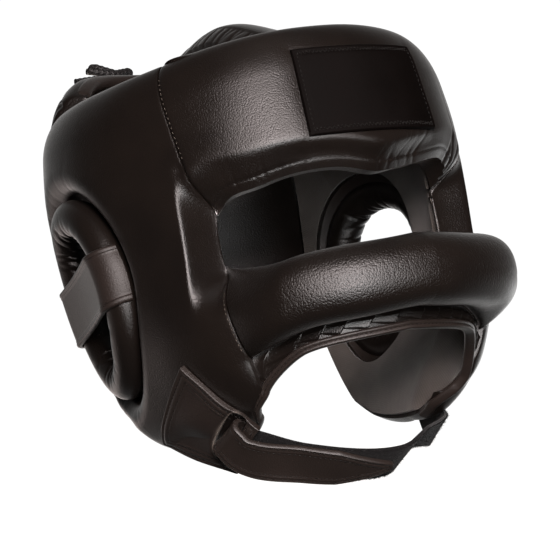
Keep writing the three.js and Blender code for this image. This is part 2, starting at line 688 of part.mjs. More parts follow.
function chinStrap() {
  const { curve, faceAt, length } = strapLine();
  const layAt = (gone) => lerp(STRAP_LAY.open, STRAP_LAY.close, smoothstep(gone, STRAP_LAY.near, STRAP_LAY.far));
  const stations = [];
  const lay = (gone, offset, ahead, wide) => {
    const along = curve.getTangentAt(gone / length);
    const face = faceAt(gone / length);
    const centre = curve.getPointAt(gone / length).addScaledVector(face, offset).addScaledVector(along, -ahead);
    stations.push({ centre, out: along.clone().cross(face).normalize(), wide });
  };
  steps(length, 0, STRAP.stations).forEach((gone) => lay(gone, -layAt(gone), 0, STRAP.wide));
  steps(-90, 90, STRAP.fold).slice(1, -1).forEach((angle) => {
    const open = layAt(0);
    lay(0, open * Math.sin(degToRad(angle)), open * Math.cos(degToRad(angle)), STRAP.wide);
  });
  steps(0, STRAP.tail, STRAP.tailStations).forEach((gone) => {
    const taper = clamp((STRAP.tail - gone) / STRAP.point, 0, 1);
    lay(gone, layAt(gone), 0, lerp(STRAP.tip, STRAP.wide, taper));
  });
  return ribbon(stations, (i) => stations[i].wide, STRAP.thick);
}

const guard = new THREE.Group();
guard.name = "head_guard";
guard.add(
  piece("forehead_pad", foreheadPad(), LEATHER_BLACK),
  piece("forehead_lining", foreheadLining(), LINING_GREY),
  piece("forehead_patch", foreheadPatch(), LEATHER_BLACK),
  piece("side_pad_left", sidePad(), LEATHER_BLACK),
  piece("side_pad_right", mirrored(sidePad()), LEATHER_BLACK),
  piece("side_lining_left", sideLining(), LINING_GREY),
  piece("side_lining_right", mirrored(sideLining()), LINING_GREY),
  piece("ear_ring_left", earRing(), LEATHER_BLACK),
  piece("ear_ring_right", mirrored(earRing()), LEATHER_BLACK),
  piece("ear_strap_left", earStrap(), LEATHER_BLACK),
  piece("ear_strap_right", mirrored(earStrap()), LEATHER_BLACK),
  piece("face_bar", faceBar(), LEATHER_BLACK),
  piece("bar_facing", barFacing(), LEATHER_BLACK),
  piece("mouth_binding", mouthBinding(), LEATHER_BLACK),
  piece("back_pad", backPad(), LEATHER_BLACK),
  piece("crown_strap", crownStrap(), LEATHER_BLACK),
  piece("crown_lace", crownLace(), WEB_BLACK),
  piece("chin_tab", mirrored(chinTab()), LEATHER_BLACK),
  piece("chin_strap", mirrored(chinStrap()), WEB_BLACK),
);
guard.position.z = -SEAT;

export default guard;
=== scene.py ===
"""Sparring head guard in grained leather, with woven lining, hemmed straps, hook and loop and a tied lace.

Shapes are worked out in millimetres round the hollow that the head fills: a turn in degrees from the face
towards the wearer's left, a height above the brow and a depth out from the hollow. Meshes are placed in
metres in the frame.
"""

import logging
import math
from dataclasses import dataclass
from enum import Enum
from typing import NamedTuple

import bmesh
import bpy
import numpy as np
from mathutils import Matrix, Vector


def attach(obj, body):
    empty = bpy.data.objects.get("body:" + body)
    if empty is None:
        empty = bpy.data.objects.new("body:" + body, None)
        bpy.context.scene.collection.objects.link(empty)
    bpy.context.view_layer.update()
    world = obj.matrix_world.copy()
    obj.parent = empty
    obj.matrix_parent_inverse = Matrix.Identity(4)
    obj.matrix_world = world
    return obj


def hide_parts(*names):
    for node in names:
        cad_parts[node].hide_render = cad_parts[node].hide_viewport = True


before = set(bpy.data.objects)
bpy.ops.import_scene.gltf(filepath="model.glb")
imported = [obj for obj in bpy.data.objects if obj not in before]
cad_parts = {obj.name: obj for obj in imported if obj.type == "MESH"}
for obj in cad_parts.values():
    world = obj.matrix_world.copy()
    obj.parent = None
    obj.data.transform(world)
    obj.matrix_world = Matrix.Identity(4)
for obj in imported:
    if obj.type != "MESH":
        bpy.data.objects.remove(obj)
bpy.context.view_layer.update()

LOG = logging.getLogger("head_guard")
Array = np.ndarray
Number = Array | float
Pair = tuple[Array, Array]
Piece = bpy.types.Object
Tree = bpy.types.NodeTree
Node = bpy.types.Node
Socket = bpy.types.NodeSocket

# Sizes shared by the pieces, in millimetres
MM = 0.001
BODY = "root"
SEAT = 79.5  # height of the frame's origin above the brow
DEGREE = 2.05  # length along the shell for one degree of turn
PAD_DEPTH = 22.0
EDGE_DEPTH = 7.0
ROLL = 26.0  # width of a pad's rolled edge
LEATHER = 1.5
LINING_GAP = 0.6
PAD_FLOOR = LEATHER + LINING_GAP
SEAM_SLIT = 0.3  # in degrees of turn
GAP = 0.3
SEAM_DIP = 1.0  # fall of the leather at a seam
FLUSH_DIP = 0.3  # the same where both sides of the seam lie flush
SEAM_REACH = 0.7

# Settings of the meshes
SHARP_ANGLE = math.radians(48)
CROWDING = 0.6  # how far steps crowd towards the edges of a pad, from 0 to 1
INNER_ROWS = 9  # rows of points over the inside of a pad
TINY = 1e-9


class Side(Enum):
    """Wearer's side of a paired piece, as the sign of its place across."""

    LEFT = 1
    RIGHT = -1

    @property
    def word(self) -> str:
        """Name of the side as the nodes write it."""
        return self.name.lower()


# Plain curves and fields


def unit(vectors: Array) -> Array:
    """Vectors at length one."""
    return vectors / np.maximum(np.linalg.norm(vectors, axis=-1, keepdims=True), TINY)


def square_to(vectors: Array, along: Array) -> Array:
    """Vectors turned square to others, at length one."""
    return unit(vectors - (vectors * along).sum(-1, keepdims=True) * along)


def upright(height: Array) -> Array:
    """Upright vectors of these heights."""
    return np.asarray(height, float)[..., None] * np.array([0, 0, 1.0])


def turned(x: Array, y: Array, degrees: float) -> Pair:
    """Flat places turned round the origin."""
    sine, cosine = math.sin(math.radians(degrees)), math.cos(math.radians(degrees))
    return x * cosine - y * sine, x * sine + y * cosine


def mix(low: Number, high: Number, share: Number) -> Number:
    """Value a share of the way between two others."""
    return low + (high - low) * share


def smoothstep(value: Number, low: float, high: float) -> Array:
    """Ease from 0 at low to 1 at high."""
    t = np.clip((np.asarray(value, float) - low) / (high - low), 0.0, 1.0)
    return t * t * (3 - 2 * t)


def rolled(distance: Array, width: float) -> Array:
    """Rise of a rolled edge, 0 at the edge and 1 from its width inwards."""
    left = 1 - np.clip(distance / width, 0.0, 1.0)
    return np.sqrt(1 - left * left)


def bell(offset: Array, width: float) -> Array:
    """Round bump of height one."""
    return np.exp(-((offset / width) ** 2))


def soft_past(distance: Array, width: float) -> Array:
    """Distance past zero, rounded over a width where it starts."""
    return width * np.log1p(np.exp(distance / width))


def squared(value: Array, power: float) -> Array:
    """Value with its sign kept and its size raised to a power."""
    return np.sign(value) * np.abs(value) ** power


def circle(count: int) -> Array:
    """Angles once round."""
    return np.linspace(0, 2 * np.pi, count, endpoint=False)


def crowded(count: int) -> Array:
    """Steps from 0 to 1, one more than count, that crowd towards both ends."""
    even = np.linspace(0, 1, count + 1)
    return mix(even, (1 - np.cos(np.pi * even)) / 2, CROWDING)


def lengths(points: Array) -> Array:
    """Length gone at each point of a run."""
    return np.concatenate([[0.0], np.cumsum(np.linalg.norm(np.diff(points, axis=0), axis=1))])


def between(places: Array, keys: Array, rows: Array) -> Array:
    """Rows read straight at places between their keys."""
    return np.stack([np.interp(places, keys, column) for column in rows.T], axis=-1)


def hermite(keys: Array, values: Array, place: Array) -> Array:
    """Smooth value of a table's column at places between its rows.

    Args:
        keys: Places of the rows.
        values: Values of the column.
        place: Where it is read.

    Returns:
        One value for each place.
    """
    place = np.asarray(place, float)
    low = np.clip(np.searchsorted(keys, place) - 1, 0, len(keys) - 2)
    rows = np.arange(len(keys))
    before = np.maximum(rows - 1, 0)
    after = np.minimum(rows + 1, len(keys) - 1)
    slope = (values[after] - values[before]) / (keys[after] - keys[before])
    span = keys[low + 1] - keys[low]
    t = (place - keys[low]) / span
    lead = t * (1 - t) ** 2 * slope[low] * span
    trail = t * t * (t - 1) * slope[low + 1] * span
    return values[low] + (values[low + 1] - values[low]) * t * t * (3 - 2 * t) + lead + trail


def run_distance(places: Array, points: Array) -> Array:
    """Distance of flat places from a run of points.

    Args:
        places: Flat places, two numbers each.
        points: Points of the run in order.

    Returns:
        One distance for each place.
    """
    best = np.full(places.shape[:-1], np.inf)
    for start, end in zip(points[:-1], points[1:]):
        way = end - start
        t = np.clip(((places - start) @ way) / (way @ way), 0.0, 1.0)
        best = np.minimum(best, np.linalg.norm(places - start - t[..., None] * way, axis=-1))
    return best


def is_within(places: Array, points: Array) -> Array:
    """Whether flat places lie within a closed run of points.

    Args:
        places: Flat places, two numbers each.
        points: Points round the run.

    Returns:
        One truth for each place.
    """
    inside = np.zeros(places.shape[:-1], bool)
    for start, end in zip(points, np.roll(points, -1, axis=0)):
        if start[1] == end[1]:
            continue
        crossed = (start[1] > places[..., 1]) != (end[1] > places[..., 1])
        reach = start[0] + (places[..., 1] - start[1]) * (end[0] - start[0]) / (end[1] - start[1])
        inside ^= crossed & (places[..., 0] < reach)
    return inside


class SmoothLine:
    """Centripetal curve through points, measured along its length."""

    PIECES = 60
    STEP = 0.4  # half the stretch that a direction is taken over

    def __init__(self, points: Array) -> None:
        """Sample the curve.

        Args:
            points: Points that it runs through.
        """
        ends = [2 * points[0] - points[1], *points, 2 * points[-1] - points[-2]]
        t = np.linspace(0, 1, self.PIECES, endpoint=False)[:, None]
        samples = []
        for a, b, c, d in zip(ends, ends[1:], ends[2:], ends[3:]):
            da, db, dc = (math.sqrt(np.linalg.norm(q - p)) for p, q in ((a, b), (b, c), (c, d)))
            lead = ((b - a) / da - (c - a) / (da + db) + (c - b) / db) * db
            trail = ((c - b) / db - (d - b) / (db + dc) + (d - c) / dc) * db
            square = 3 * (c - b) - 2 * lead - trail
            cube = 2 * (b - c) + lead + trail
            samples.append(b + lead * t + square * t**2 + cube * t**3)
        self.points = np.vstack([*samples, points[-1:]])
        self.gone = lengths(self.points)
        self.length = float(self.gone[-1])

    def at(self, gone: Array) -> Array:
        """Points after these lengths along the curve."""
        return between(gone, self.gone, self.points)

    def along(self, gone: Array) -> Array:
        """Direction of the curve after these lengths."""
        low = np.clip(np.asarray(gone) - self.STEP, 0, self.length - 2 * self.STEP)
        return unit(self.at(low + 2 * self.STEP) - self.at(low))


@dataclass(frozen=True)
class Puckers:
    """Gathers sewn in along a seam: narrow valleys that run in from it and die out."""

    start: float
    end: float
    pitch: float
    depth: float
    width: float
    reach: float
    lean: float = 0.3
    seed: int = 1

    def fall(self, along: Array, inward: Array) -> Array:
        """How far the leather falls.

        Args:
            along: Place along the seam.
            inward: Distance from the seam.

        Returns:
            The fall in millimetres at each place.
        """
        draw = np.random.default_rng(self.seed)
        count = max(1, round((self.end - self.start) / self.pitch))
        total = np.zeros(np.broadcast(along, inward).shape)
        for place in np.linspace(self.start, self.end, count):
            place += self.pitch * draw.uniform(-0.35, 0.35)
            deep = self.depth * draw.uniform(0.35, 1.0)
            wide = self.width * draw.uniform(0.7, 1.4)
            far = self.reach * draw.uniform(0.5, 1.2)
            off = along - place - self.lean * draw.uniform(-1, 1) * inward
            total += deep * bell(off, wide) * np.exp(-np.maximum(inward, 0) / far)
        return total


@dataclass(frozen=True)
class Undulation:
    """Slow rise and fall of leather drawn over foam."""

    lift: float
    length: float
    seed: int

    WAVES = 7

    def rise(self, across: Array, up: Array) -> Array:
        """Rise of the leather.

        Args:
            across: Flat place across.
            up: Flat place upwards.

        Returns:
            The rise in millimetres at each place.
        """
        draw = np.random.default_rng(self.seed)
        total = np.zeros(np.broadcast(across, up).shape)
        for _ in range(self.WAVES):
            turn, phase = draw.uniform(0, 2 * math.pi, 2)
            pace = 2 * math.pi / (self.length * draw.uniform(0.7, 1.6))
            total += np.cos(pace * (across * math.cos(turn) + up * math.sin(turn)) + phase)
        return self.lift * total / math.sqrt(self.WAVES)


def edge_fall(from_edge: Array, fall: float, width: float) -> Array:
    """Fall of a cut edge that is rounded off over a width."""
    return fall * (1 - rolled(from_edge, width))


@dataclass(frozen=True)
class Hem:
    """Turned edge of a strap: thicker as far as its inner end, with a stitched groove on each row."""

    start: float
    end: float
    rise: float
    groove: float
    rows: tuple

    GROOVE_WIDTH = 0.5

    def lift(self, from_edge: Array) -> Array:
        """Rise of the hem less its grooves, at distances from the edge."""
        grooves = sum(self.groove * bell(from_edge - row, self.GROOVE_WIDTH) for row in self.rows)
        return self.rise * (1 - smoothstep(from_edge, self.start, self.end)) - grooves


class HollowRow(NamedTuple):
    """Half width and reach of the hollow at a height, and how far its section is squared."""

    z: float
    wide: float
    front: float
    back: float
    square: float


class Shell:
    """Wall of the hollow that the head fills."""

    ROWS = (
        HollowRow(-150, 48, 84, 62, 0.12),
        HollowRow(-125, 60, 89, 72, 0.13),
        HollowRow(-80, 77, 101, 90, 0.13),
        HollowRow(-40, 84, 104, 104, 0.03),
        HollowRow(0, 86, 101, 110, 0),
        HollowRow(40, 82, 91, 112, 0),
        HollowRow(64, 77, 84, 108, 0),
        HollowRow(90, 68, 74, 98, 0),
    )
    STEP = 0.5  # half the stretch that a direction is taken over

    def __init__(self) -> None:
        """Turn the rows into columns."""
        self.columns = dict(zip(HollowRow._fields, np.array(self.ROWS, float).T))

    def column(self, name: str, z: Array) -> Array:
        """One column of the table at heights."""
        return hermite(self.columns["z"], self.columns[name], z)

    def wall(self, turn: Array, z: Array) -> Array:
        """Points on the wall.

        Args:
            turn: Turns in degrees from the face.
            z: Heights.

        Returns:
            One point for each place.
        """
        turn, z = np.broadcast_arrays(np.asarray(turn, float), np.asarray(z, float))
        angle = np.radians(turn)
        is_front = np.cos(angle) > 0
        reach = np.where(is_front, self.column("front", z), self.column("back", z))
        fill = 1 + np.where(is_front, self.column("square", z) * np.sin(2 * angle) ** 2, 0)
        across = fill * self.column("wide", z) * np.sin(angle)
        return np.stack([across, -fill * reach * np.cos(angle), z], axis=-1)

    def outward(self, turn: Array, z: Array) -> Array:
        """Direction out of the wall."""
        along = self.wall(turn + self.STEP, z) - self.wall(turn - self.STEP, z)
        return unit(np.cross(along, self.wall(turn, z + self.STEP) - self.wall(turn, z - self.STEP)))

    def point(self, turn: Array, z: Array, depth: Number) -> Array:
        """Points at a depth out from the wall."""
        return self.wall(turn, z) + self.outward(turn, z) * np.asarray(depth, float)[..., None]


SHELL = Shell()


def flat_place(turn: Number, z: Number) -> Array:
    """Flat place of a turn and height, in millimetres."""
    return np.stack(np.broadcast_arrays(np.asarray(turn, float) * DEGREE, np.asarray(z, float)), axis=-1)


def raised(places: Array, depth: Number) -> Array:
    """Points at a depth over flat places, drawn on the left."""
    return SHELL.point(places[..., 0] / DEGREE, places[..., 1], depth)


def mirrored(points: Array, side: Side) -> Array:
    """Points drawn on the left, on the wanted side."""
    return points * np.array([side.value, 1, 1])


# Meshes


@dataclass
class Face:
    """Grid of points over the outer face of a piece."""

    points: Array

    def __post_init__(self) -> None:
        """Work out the way out of the face at each point."""
        self.normals = unit(np.cross(np.gradient(self.points, axis=0), np.gradient(self.points, axis=1)))

    def facing(self, looks: Array) -> "Face":
        """The same face, turned to the side that a direction points to."""
        self.normals = self.normals * math.copysign(1, (self.normals * looks).sum())
        return self

    def blend(self, grid: Array, columns: Array, rows: Array) -> Array:
        """Rows of a grid between its points.

        Args:
            grid: Grid of vectors over the face.
            columns: Places along the first axis, as fractions of an index.
            rows: Places along the second axis.

        Returns:
            One vector for each place.
        """
        i = np.clip(columns.astype(int), 0, grid.shape[0] - 2)
        j = np.clip(rows.astype(int), 0, grid.shape[1] - 2)
        s, t = (columns - i)[:, None], (rows - j)[:, None]
        low = mix(grid[i, j], grid[i + 1, j], s)
        return mix(low, mix(grid[i, j + 1], grid[i + 1, j + 1], s), t)

    def run(self, columns: Number, rows: Number) -> Pair:
        """Points on the face with the way out of it."""
        places = np.broadcast_arrays(np.asarray(columns, float), np.asarray(rows, float))
        return self.blend(self.points, *places), unit(self.blend(self.normals, *places))


def add_object(name: str, points: Array, faces: list, uvs: Array, finish: "Finish") -> Piece:
    """Mesh object with its faces turned outwards.

    Args:
        name: Name of the piece.
        points: Points in millimetres.
        faces: Corner numbers of each face.
        uvs: Place in the cloth of each face corner, in metres.
        finish: What the piece is made of.

    Returns:
        The object, linked to the scene.
    """
    mesh = bpy.data.meshes.new(name)
    in_frame = (points.reshape(-1, 3) - np.array([0, 0, SEAT])) * MM
    mesh.from_pydata(in_frame.tolist(), [], faces)
    mesh.uv_layers.new(name="cloth").data.foreach_set("uv", np.asarray(uvs, np.float32).ravel())
    body = bmesh.new()
    body.from_mesh(mesh)
    bmesh.ops.recalc_face_normals(body, faces=body.faces[:])
    body.to_mesh(mesh)
    body.free()
    mesh.polygons.foreach_set("use_smooth", np.ones(len(mesh.polygons), bool))
    mesh.set_sharp_from_angle(angle=SHARP_ANGLE)
    mesh.materials.append(finish.material())
    piece = bpy.data.objects.new(name, mesh)
    bpy.context.scene.collection.objects.link(piece)
    return piece


def loft(name: str, loops: Array, finish: "Finish", comes_round: bool = False) -> Piece:
    """Closed body through a row of closed loops.

    Args:
        name: Name of the piece.
        loops: Loops of points, in millimetres.
        finish: What the piece is made of.
        comes_round: Whether the last loop joins the first, instead of a cap at each end.

    Returns:
        The object.
    """
    count, sides = loops.shape[:2]
    number = np.arange(count * sides).reshape(count, sides)
    ahead = np.roll(number, -1, axis=0)
    spans = count if comes_round else count - 1
    corners = [number, ahead, np.roll(ahead, -1, axis=1), np.roll(number, -1, axis=1)]
    faces = np.stack([c[:spans] for c in corners], axis=-1).reshape(-1, 4).tolist()
    round_it = np.linalg.norm(np.roll(loops, -1, axis=1) - loops, axis=2)
    along = np.linalg.norm(np.roll(loops, -1, axis=0) - loops, axis=2).mean(axis=1)
    v = np.concatenate([np.zeros((count, 1)), np.cumsum(round_it, axis=1)], axis=1)
    v = np.concatenate([v, v[:1]], axis=0)
    u = np.repeat(np.concatenate([[0.0], np.cumsum(along)])[:, None], sides + 1, axis=1)
    cloth = np.stack([u, v], axis=-1) * MM
    corner_uvs = [cloth[:-1, :-1], cloth[1:, :-1], cloth[1:, 1:], cloth[:-1, 1:]]
    uvs = np.stack([c[:spans] for c in corner_uvs], axis=2).reshape(-1, 2)
    if not comes_round:
        faces += [number[0].tolist(), number[-1].tolist()]
        uvs = np.concatenate([uvs, np.zeros((2 * sides, 2))])
    return add_object(name, loops, faces, uvs, finish)


def slab(name: str, outer: Array, inner: Array, finish: "Finish", comes_round: bool = False) -> Piece:
    """Body between an outer and an inner face that share their columns."""
    return loft(name, np.concatenate([outer, inner[:, ::-1]], axis=1), finish, comes_round)


def hand_over(piece: Piece, nodes: tuple = ()) -> None:
    """Give a piece to the frame and report it.

    Args:
        piece: The finished piece.
        nodes: Solids that it stands for.
    """
    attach(piece, BODY)
    if nodes:
        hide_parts(*nodes)
    LOG.info("%s: %d faces", piece.name, len(piece.data.polygons))


@dataclass(frozen=True)
class Stitching:
    """Row of stitches sunk into leather."""

    length: float
    gap: float
    thick: float
    sunk: float = 0.12

    RINGS = 6
    SIDES = 6
    END_LIFT = 0.45  # height of a stitch's ends, as a share of its arch
    END_THIN = 0.02

    def along(self, points: Array, normals: Array) -> Array:
        """Rings of the stitches along one run.

        Args:
            points: Points of the run.
            normals: Way out of the surface at each point.

        Returns:
            The rings, by stitch, ring and side.
        """
        gone = lengths(points)
        starts = np.arange(0, gone[-1] - self.length, self.length + self.gap)
        share = np.linspace(0, 1, self.RINGS)
        places = starts[:, None] + self.length * share
        centre = between(places, gone, points)
        out = unit(between(places, gone, normals))
        aside = np.cross(unit(np.gradient(centre, axis=1)), out)
        arch = self.thick / 2 * (np.sin(np.pi * share) + self.END_LIFT) - self.sunk
        radius = self.thick / 2 * np.sqrt(np.maximum(1 - (2 * share - 1) ** 4, self.END_THIN))
        angle = circle(self.SIDES)[:, None]
        ring = aside[:, :, None] * np.cos(angle) + out[:, :, None] * np.sin(angle)
        return (centre + out * arch[:, None])[:, :, None] + ring * radius[:, None, None]

    def sew(self, name: str, runs: list, finish: "Finish") -> None:
        """Lay stitches along runs on a surface, as one piece.

        Args:
            name: Name of the piece.
            runs: Runs of points with the way out of the surface.
            finish: Thread that is sewn with.
        """
        loops = np.concatenate([self.along(*run) for run in runs])
        number = np.arange(loops.size // 3).reshape(-1, self.RINGS, self.SIDES)
        nearby = np.roll(number, -1, axis=2)
        quads = np.stack([number[:, :-1], number[:, 1:], nearby[:, 1:], nearby[:, :-1]], axis=-1)
        faces = quads.reshape(-1, 4).tolist() + number[:, 0].tolist() + number[:, -1].tolist()
        uvs = np.zeros((sum(len(face) for face in faces), 2))
        hand_over(add_object(name, loops, faces, uvs, finish))


# Finishes


def linear(code: str) -> tuple[float, float, float, float]:
    """Linear colour of an sRGB hex value."""
    parts = [int(code[k:k + 2], 16) / 255 for k in (0, 2, 4)]
    return (*[p / 12.92 if p <= 0.04045 else ((p + 0.055) / 1.055) ** 2.4 for p in parts], 1.0)


def grain_scale(size: float) -> float:
    """Scale of a pattern whose features have a size in millimetres."""
    return 1 / (size * MM)


def wave_scale(pitch: float) -> float:
    """Scale of waves a pitch in millimetres apart, which the texture draws 20 radians to a unit."""
    return 2 * math.pi / 20 / (pitch * MM)


def add_node(tree: Tree, kind: str, inputs: dict | None = None, **settings: object) -> Node:
    """Node with its settings, values and links.

    Args:
        tree: Tree that takes the node.
        kind: Kind of shader node.
        inputs: Value, linked socket or node with its first output, for each input by name or number.
        **settings: Properties of the node.

    Returns:
        The node.
    """
    node = tree.nodes.new("ShaderNode" + kind)
    for name, value in settings.items():
        setattr(node, name, value)
    for socket, value in (inputs or {}).items():
        value = value.outputs[0] if isinstance(value, Node) else value
        if isinstance(value, Socket):
            tree.links.new(value, node.inputs[socket])
        else:
            node.inputs[socket].default_value = value
    return node


def two_tone(tree: Tree, value: Socket, dark: str, light: str, low: float = 0.0, high: float = 1.0) -> Socket:
    """Colour between two tones as a value goes from low to high.

    Args:
        tree: Tree that takes the nodes.
        value: What the tone follows.
        dark: Colour at low.
        light: Colour at high.
        low: Value of the first tone.
        high: Value of the second.

    Returns:
        The colour's socket.
    """
    share = add_node(tree, "MapRange", {"Value": value, "From Min": low, "From Max": high})
    tones = {"Factor": share, "A": linear(dark), "B": linear(light)}
    return add_node(tree, "Mix", tones, data_type="RGBA").outputs["Result"]


def textured(tree: Tree, height: Socket, strength: float, lift: float, look: dict) -> Node:
    """Surface with a relief of this height in millimetres, strength and look."""
    bump = add_node(tree, "Bump", {"Height": height, "Strength": strength, "Distance": lift * MM})
    return add_node(tree, "BsdfPrincipled", {**look, "Normal": bump})


class Finish:
    """Something that a piece is made of, with one material for all its pieces."""

    name: str
    _made: dict = {}

    def material(self) -> bpy.types.Material:
        """The material, made at its first use."""
        if self.name not in self._made:
            material = bpy.data.materials.new(self.name)
            material.use_nodes = True
            tree = material.node_tree
            tree.nodes.clear()
            add_node(tree, "OutputMaterial", {"Surface": self.shade(tree)})
            self._made[self.name] = material
        return self._made[self.name]

    def shade(self, tree: Tree) -> Node:
        """Surface shader of the finish."""
        raise NotImplementedError


@dataclass(frozen=True)
class GrainLeather(Finish):
    """Cowhide with a pebble grain pressed in and a satin dressing.

    The grain breaks each highlight into fine sparkle, the dressing ends it soon and leaves the hide nearly
    black beside it, and a little brown shows through where the hide is thin.
    """

    name: str = "pebble_grain_leather"
    hide: str = "181412"
    worn: str = "1d1815"
    grain: float = 0.8  # width of a pebble
    lift: float = 0.095  # height of a pebble
    roughness: float = 0.425
    shine: float = 1.0  # share of the mirror part that the dressing leaves
    # pale colour of a cut edge, which on the chin tab's slot also stands for a painted highlight
    cut_edge_and_highlight: str = "8d837a"
    crease: float = 0.5
    thin: float = 38.0

    def relief(self, tree: Tree, place: Socket) -> Node:
        """Pebbles between narrow creases, with finer creases over them.

        Args:
            tree: Tree that takes the nodes.
            place: Place on the piece.

        Returns:
            The node with the direction out of the grain.
        """
        cells = add_node(
            tree, "TexVoronoi",
            {"Vector": place, "Scale": grain_scale(self.grain), "Randomness": 0.9}, feature="F1")
        fine = add_node(
            tree, "TexNoise", {"Vector": place, "Scale": grain_scale(self.crease), "Detail": 2.0})
        pebble = add_node(tree, "Math", {0: cells.outputs["Distance"], 1: 2.0}, operation="POWER")
        height = add_node(
            tree, "Math", {0: fine.outputs["Fac"], 1: 0.3, 2: pebble}, operation="MULTIPLY_ADD")
        return add_node(tree, "Bump", {"Height": height, "Strength": 1.0, "Distance": -self.lift * MM})

    def shade(self, tree: Tree) -> Node:
        """Dark hide under a mirror part that ends soon.

        Args:
            tree: Tree that takes the nodes.

        Returns:
            The shader.
        """
        place = add_node(tree, "TexCoord").outputs["Object"]
        grain = self.relief(tree, place)
        cloud = add_node(
            tree, "TexNoise", {"Vector": place, "Scale": grain_scale(self.thin), "Detail": 4.0})
        tone = two_tone(tree, cloud.outputs["Fac"], self.hide, self.worn, 0.35, 0.7)
        # Paler where the piece marks a cut edge: the edge's own pale colour together with a painted highlight
        edge = add_node(tree, "Attribute", attribute_name="cut_edge_and_highlight")
        colour = add_node(
            tree, "Mix", {"Factor": edge.outputs["Fac"], "A": tone, "B": linear(self.cut_edge_and_highlight)},
            data_type="RGBA")
        rough = add_node(
            tree, "MapRange",
            {"Value": cloud.outputs["Fac"], "From Min": 0.3, "From Max": 0.7,
             "To Min": self.roughness - 0.04, "To Max": self.roughness + 0.05})
        body = add_node(
            tree, "BsdfPrincipled",
            {"Base Color": colour.outputs["Result"], "Roughness": 0.8, "Specular IOR Level": 0.0,
             "Normal": grain})
        mirror = add_node(tree, "Fresnel", {"IOR": 1.5, "Normal": grain})
        dressed = add_node(tree, "Math", {0: mirror, 1: self.shine}, operation="MULTIPLY")
        gloss = add_node(
            tree, "BsdfAnisotropic",
            {"Color": dressed, "Roughness": rough, "Normal": grain},
            distribution="BECKMANN")
        return add_node(tree, "AddShader", {0: body, 1: gloss})


@dataclass(frozen=True)
class LiningCloth(Finish):
    """Plain-woven cotton with a brushed face: matt, grey, with its threads just showing."""

    name: str = "woven_cotton_lining"
    thread: str = "615a55"
    shadow: str = "433e3a"
    pitch: float = 1.1  # about twice the real thread spacing, so that it shows
    nap: float = 0.8
    rubbed: float = 14.0

    def shade(self, tree: Tree) -> Node:
        """Warp and weft as crossing waves, with a brushed nap over them.

        Args:
            tree: Tree that takes the nodes.

        Returns:
            The shader.
        """
        cloth = add_node(tree, "UVMap", uv_map="cloth").outputs[0]
        place = add_node(tree, "TexCoord").outputs["Object"]
        threads = {"Vector": cloth, "Scale": wave_scale(self.pitch), "Distortion": 0.4}
        warp, weft = (
            add_node(tree, "TexWave", threads, bands_direction=way).outputs["Fac"] for way in "XY")
        weave = add_node(tree, "Math", {0: warp, 1: weft}, operation="MULTIPLY")
        nap = add_node(tree, "TexNoise", {"Vector": place, "Scale": grain_scale(self.nap), "Detail": 4.0})
        height = add_node(
            tree, "Math", {0: nap.outputs["Fac"], 1: 0.6, 2: weave}, operation="MULTIPLY_ADD").outputs[0]
        cloud = add_node(
            tree, "TexNoise", {"Vector": place, "Scale": grain_scale(self.rubbed), "Detail": 3.0})
        share = add_node(
            tree, "Math", {0: height, 1: 0.5, 2: cloud.outputs["Fac"]}, operation="MULTIPLY_ADD")
        colour = two_tone(tree, share.outputs[0], self.shadow, self.thread, 0.4, 1.1)
        return textured(tree, height, 0.6, 0.2, {
            "Base Color": colour, "Roughness": 0.9, "IOR": 1.5, "Sheen Weight": 0.25, "Sheen Roughness": 0.5})


@dataclass(frozen=True)
class LoopPile(Finish):
    """Nylon hook and loop band: black, matt, with a soft pale nap at grazing angles."""

    name: str = "nylon_loop_pile"
    # the pile's tone is painted light and shade: darker in the hollows, lighter on the raised loop tips
    pile: str = "090809"
    tips: str = "191718"
    loop: float = 0.9

    def shade(self, tree: Tree) -> Node:
        """Tangled loops from layered noise, painted lighter where they rise and darker in their hollows.

        Args:
            tree: Tree that takes the nodes.

        Returns:
            The shader.
        """
        place = add_node(tree, "TexCoord").outputs["Object"]
        tangle = add_node(
            tree, "TexNoise",
            {"Vector": place, "Scale": grain_scale(self.loop), "Detail": 5.0}).outputs["Fac"]
        colour = two_tone(tree, tangle, self.pile, self.tips, 0.42, 0.75)
        return textured(tree, tangle, 1.0, 0.5, {
            "Base Color": colour, "Roughness": 0.9, "IOR": 1.4, "Sheen Weight": 0.08, "Sheen Roughness": 0.4})


@dataclass(frozen=True)
class Thread(Finish):
    """Bonded polyester sewing thread: a tight twist with a soft shine."""

    name: str
    colour: str
    shadow: str
    pitch: float = 0.4

    def shade(self, tree: Tree) -> Node:
        """Twist as slanting waves finer than a stitch.

        Args:
            tree: Tree that takes the nodes.

        Returns:
            The shader.
        """
        place = add_node(tree, "TexCoord").outputs["Object"]
        twist = add_node(
            tree, "TexWave", {"Vector": place, "Scale": wave_scale(self.pitch), "Distortion": 1.0},
            bands_direction="DIAGONAL").outputs["Fac"]
        colour = two_tone(tree, twist, self.shadow, self.colour)
        return textured(tree, twist, 0.5, 0.06, {
            "Base Color": colour, "Roughness": 0.6, "IOR": 1.55, "Specular IOR Level": 0.15})


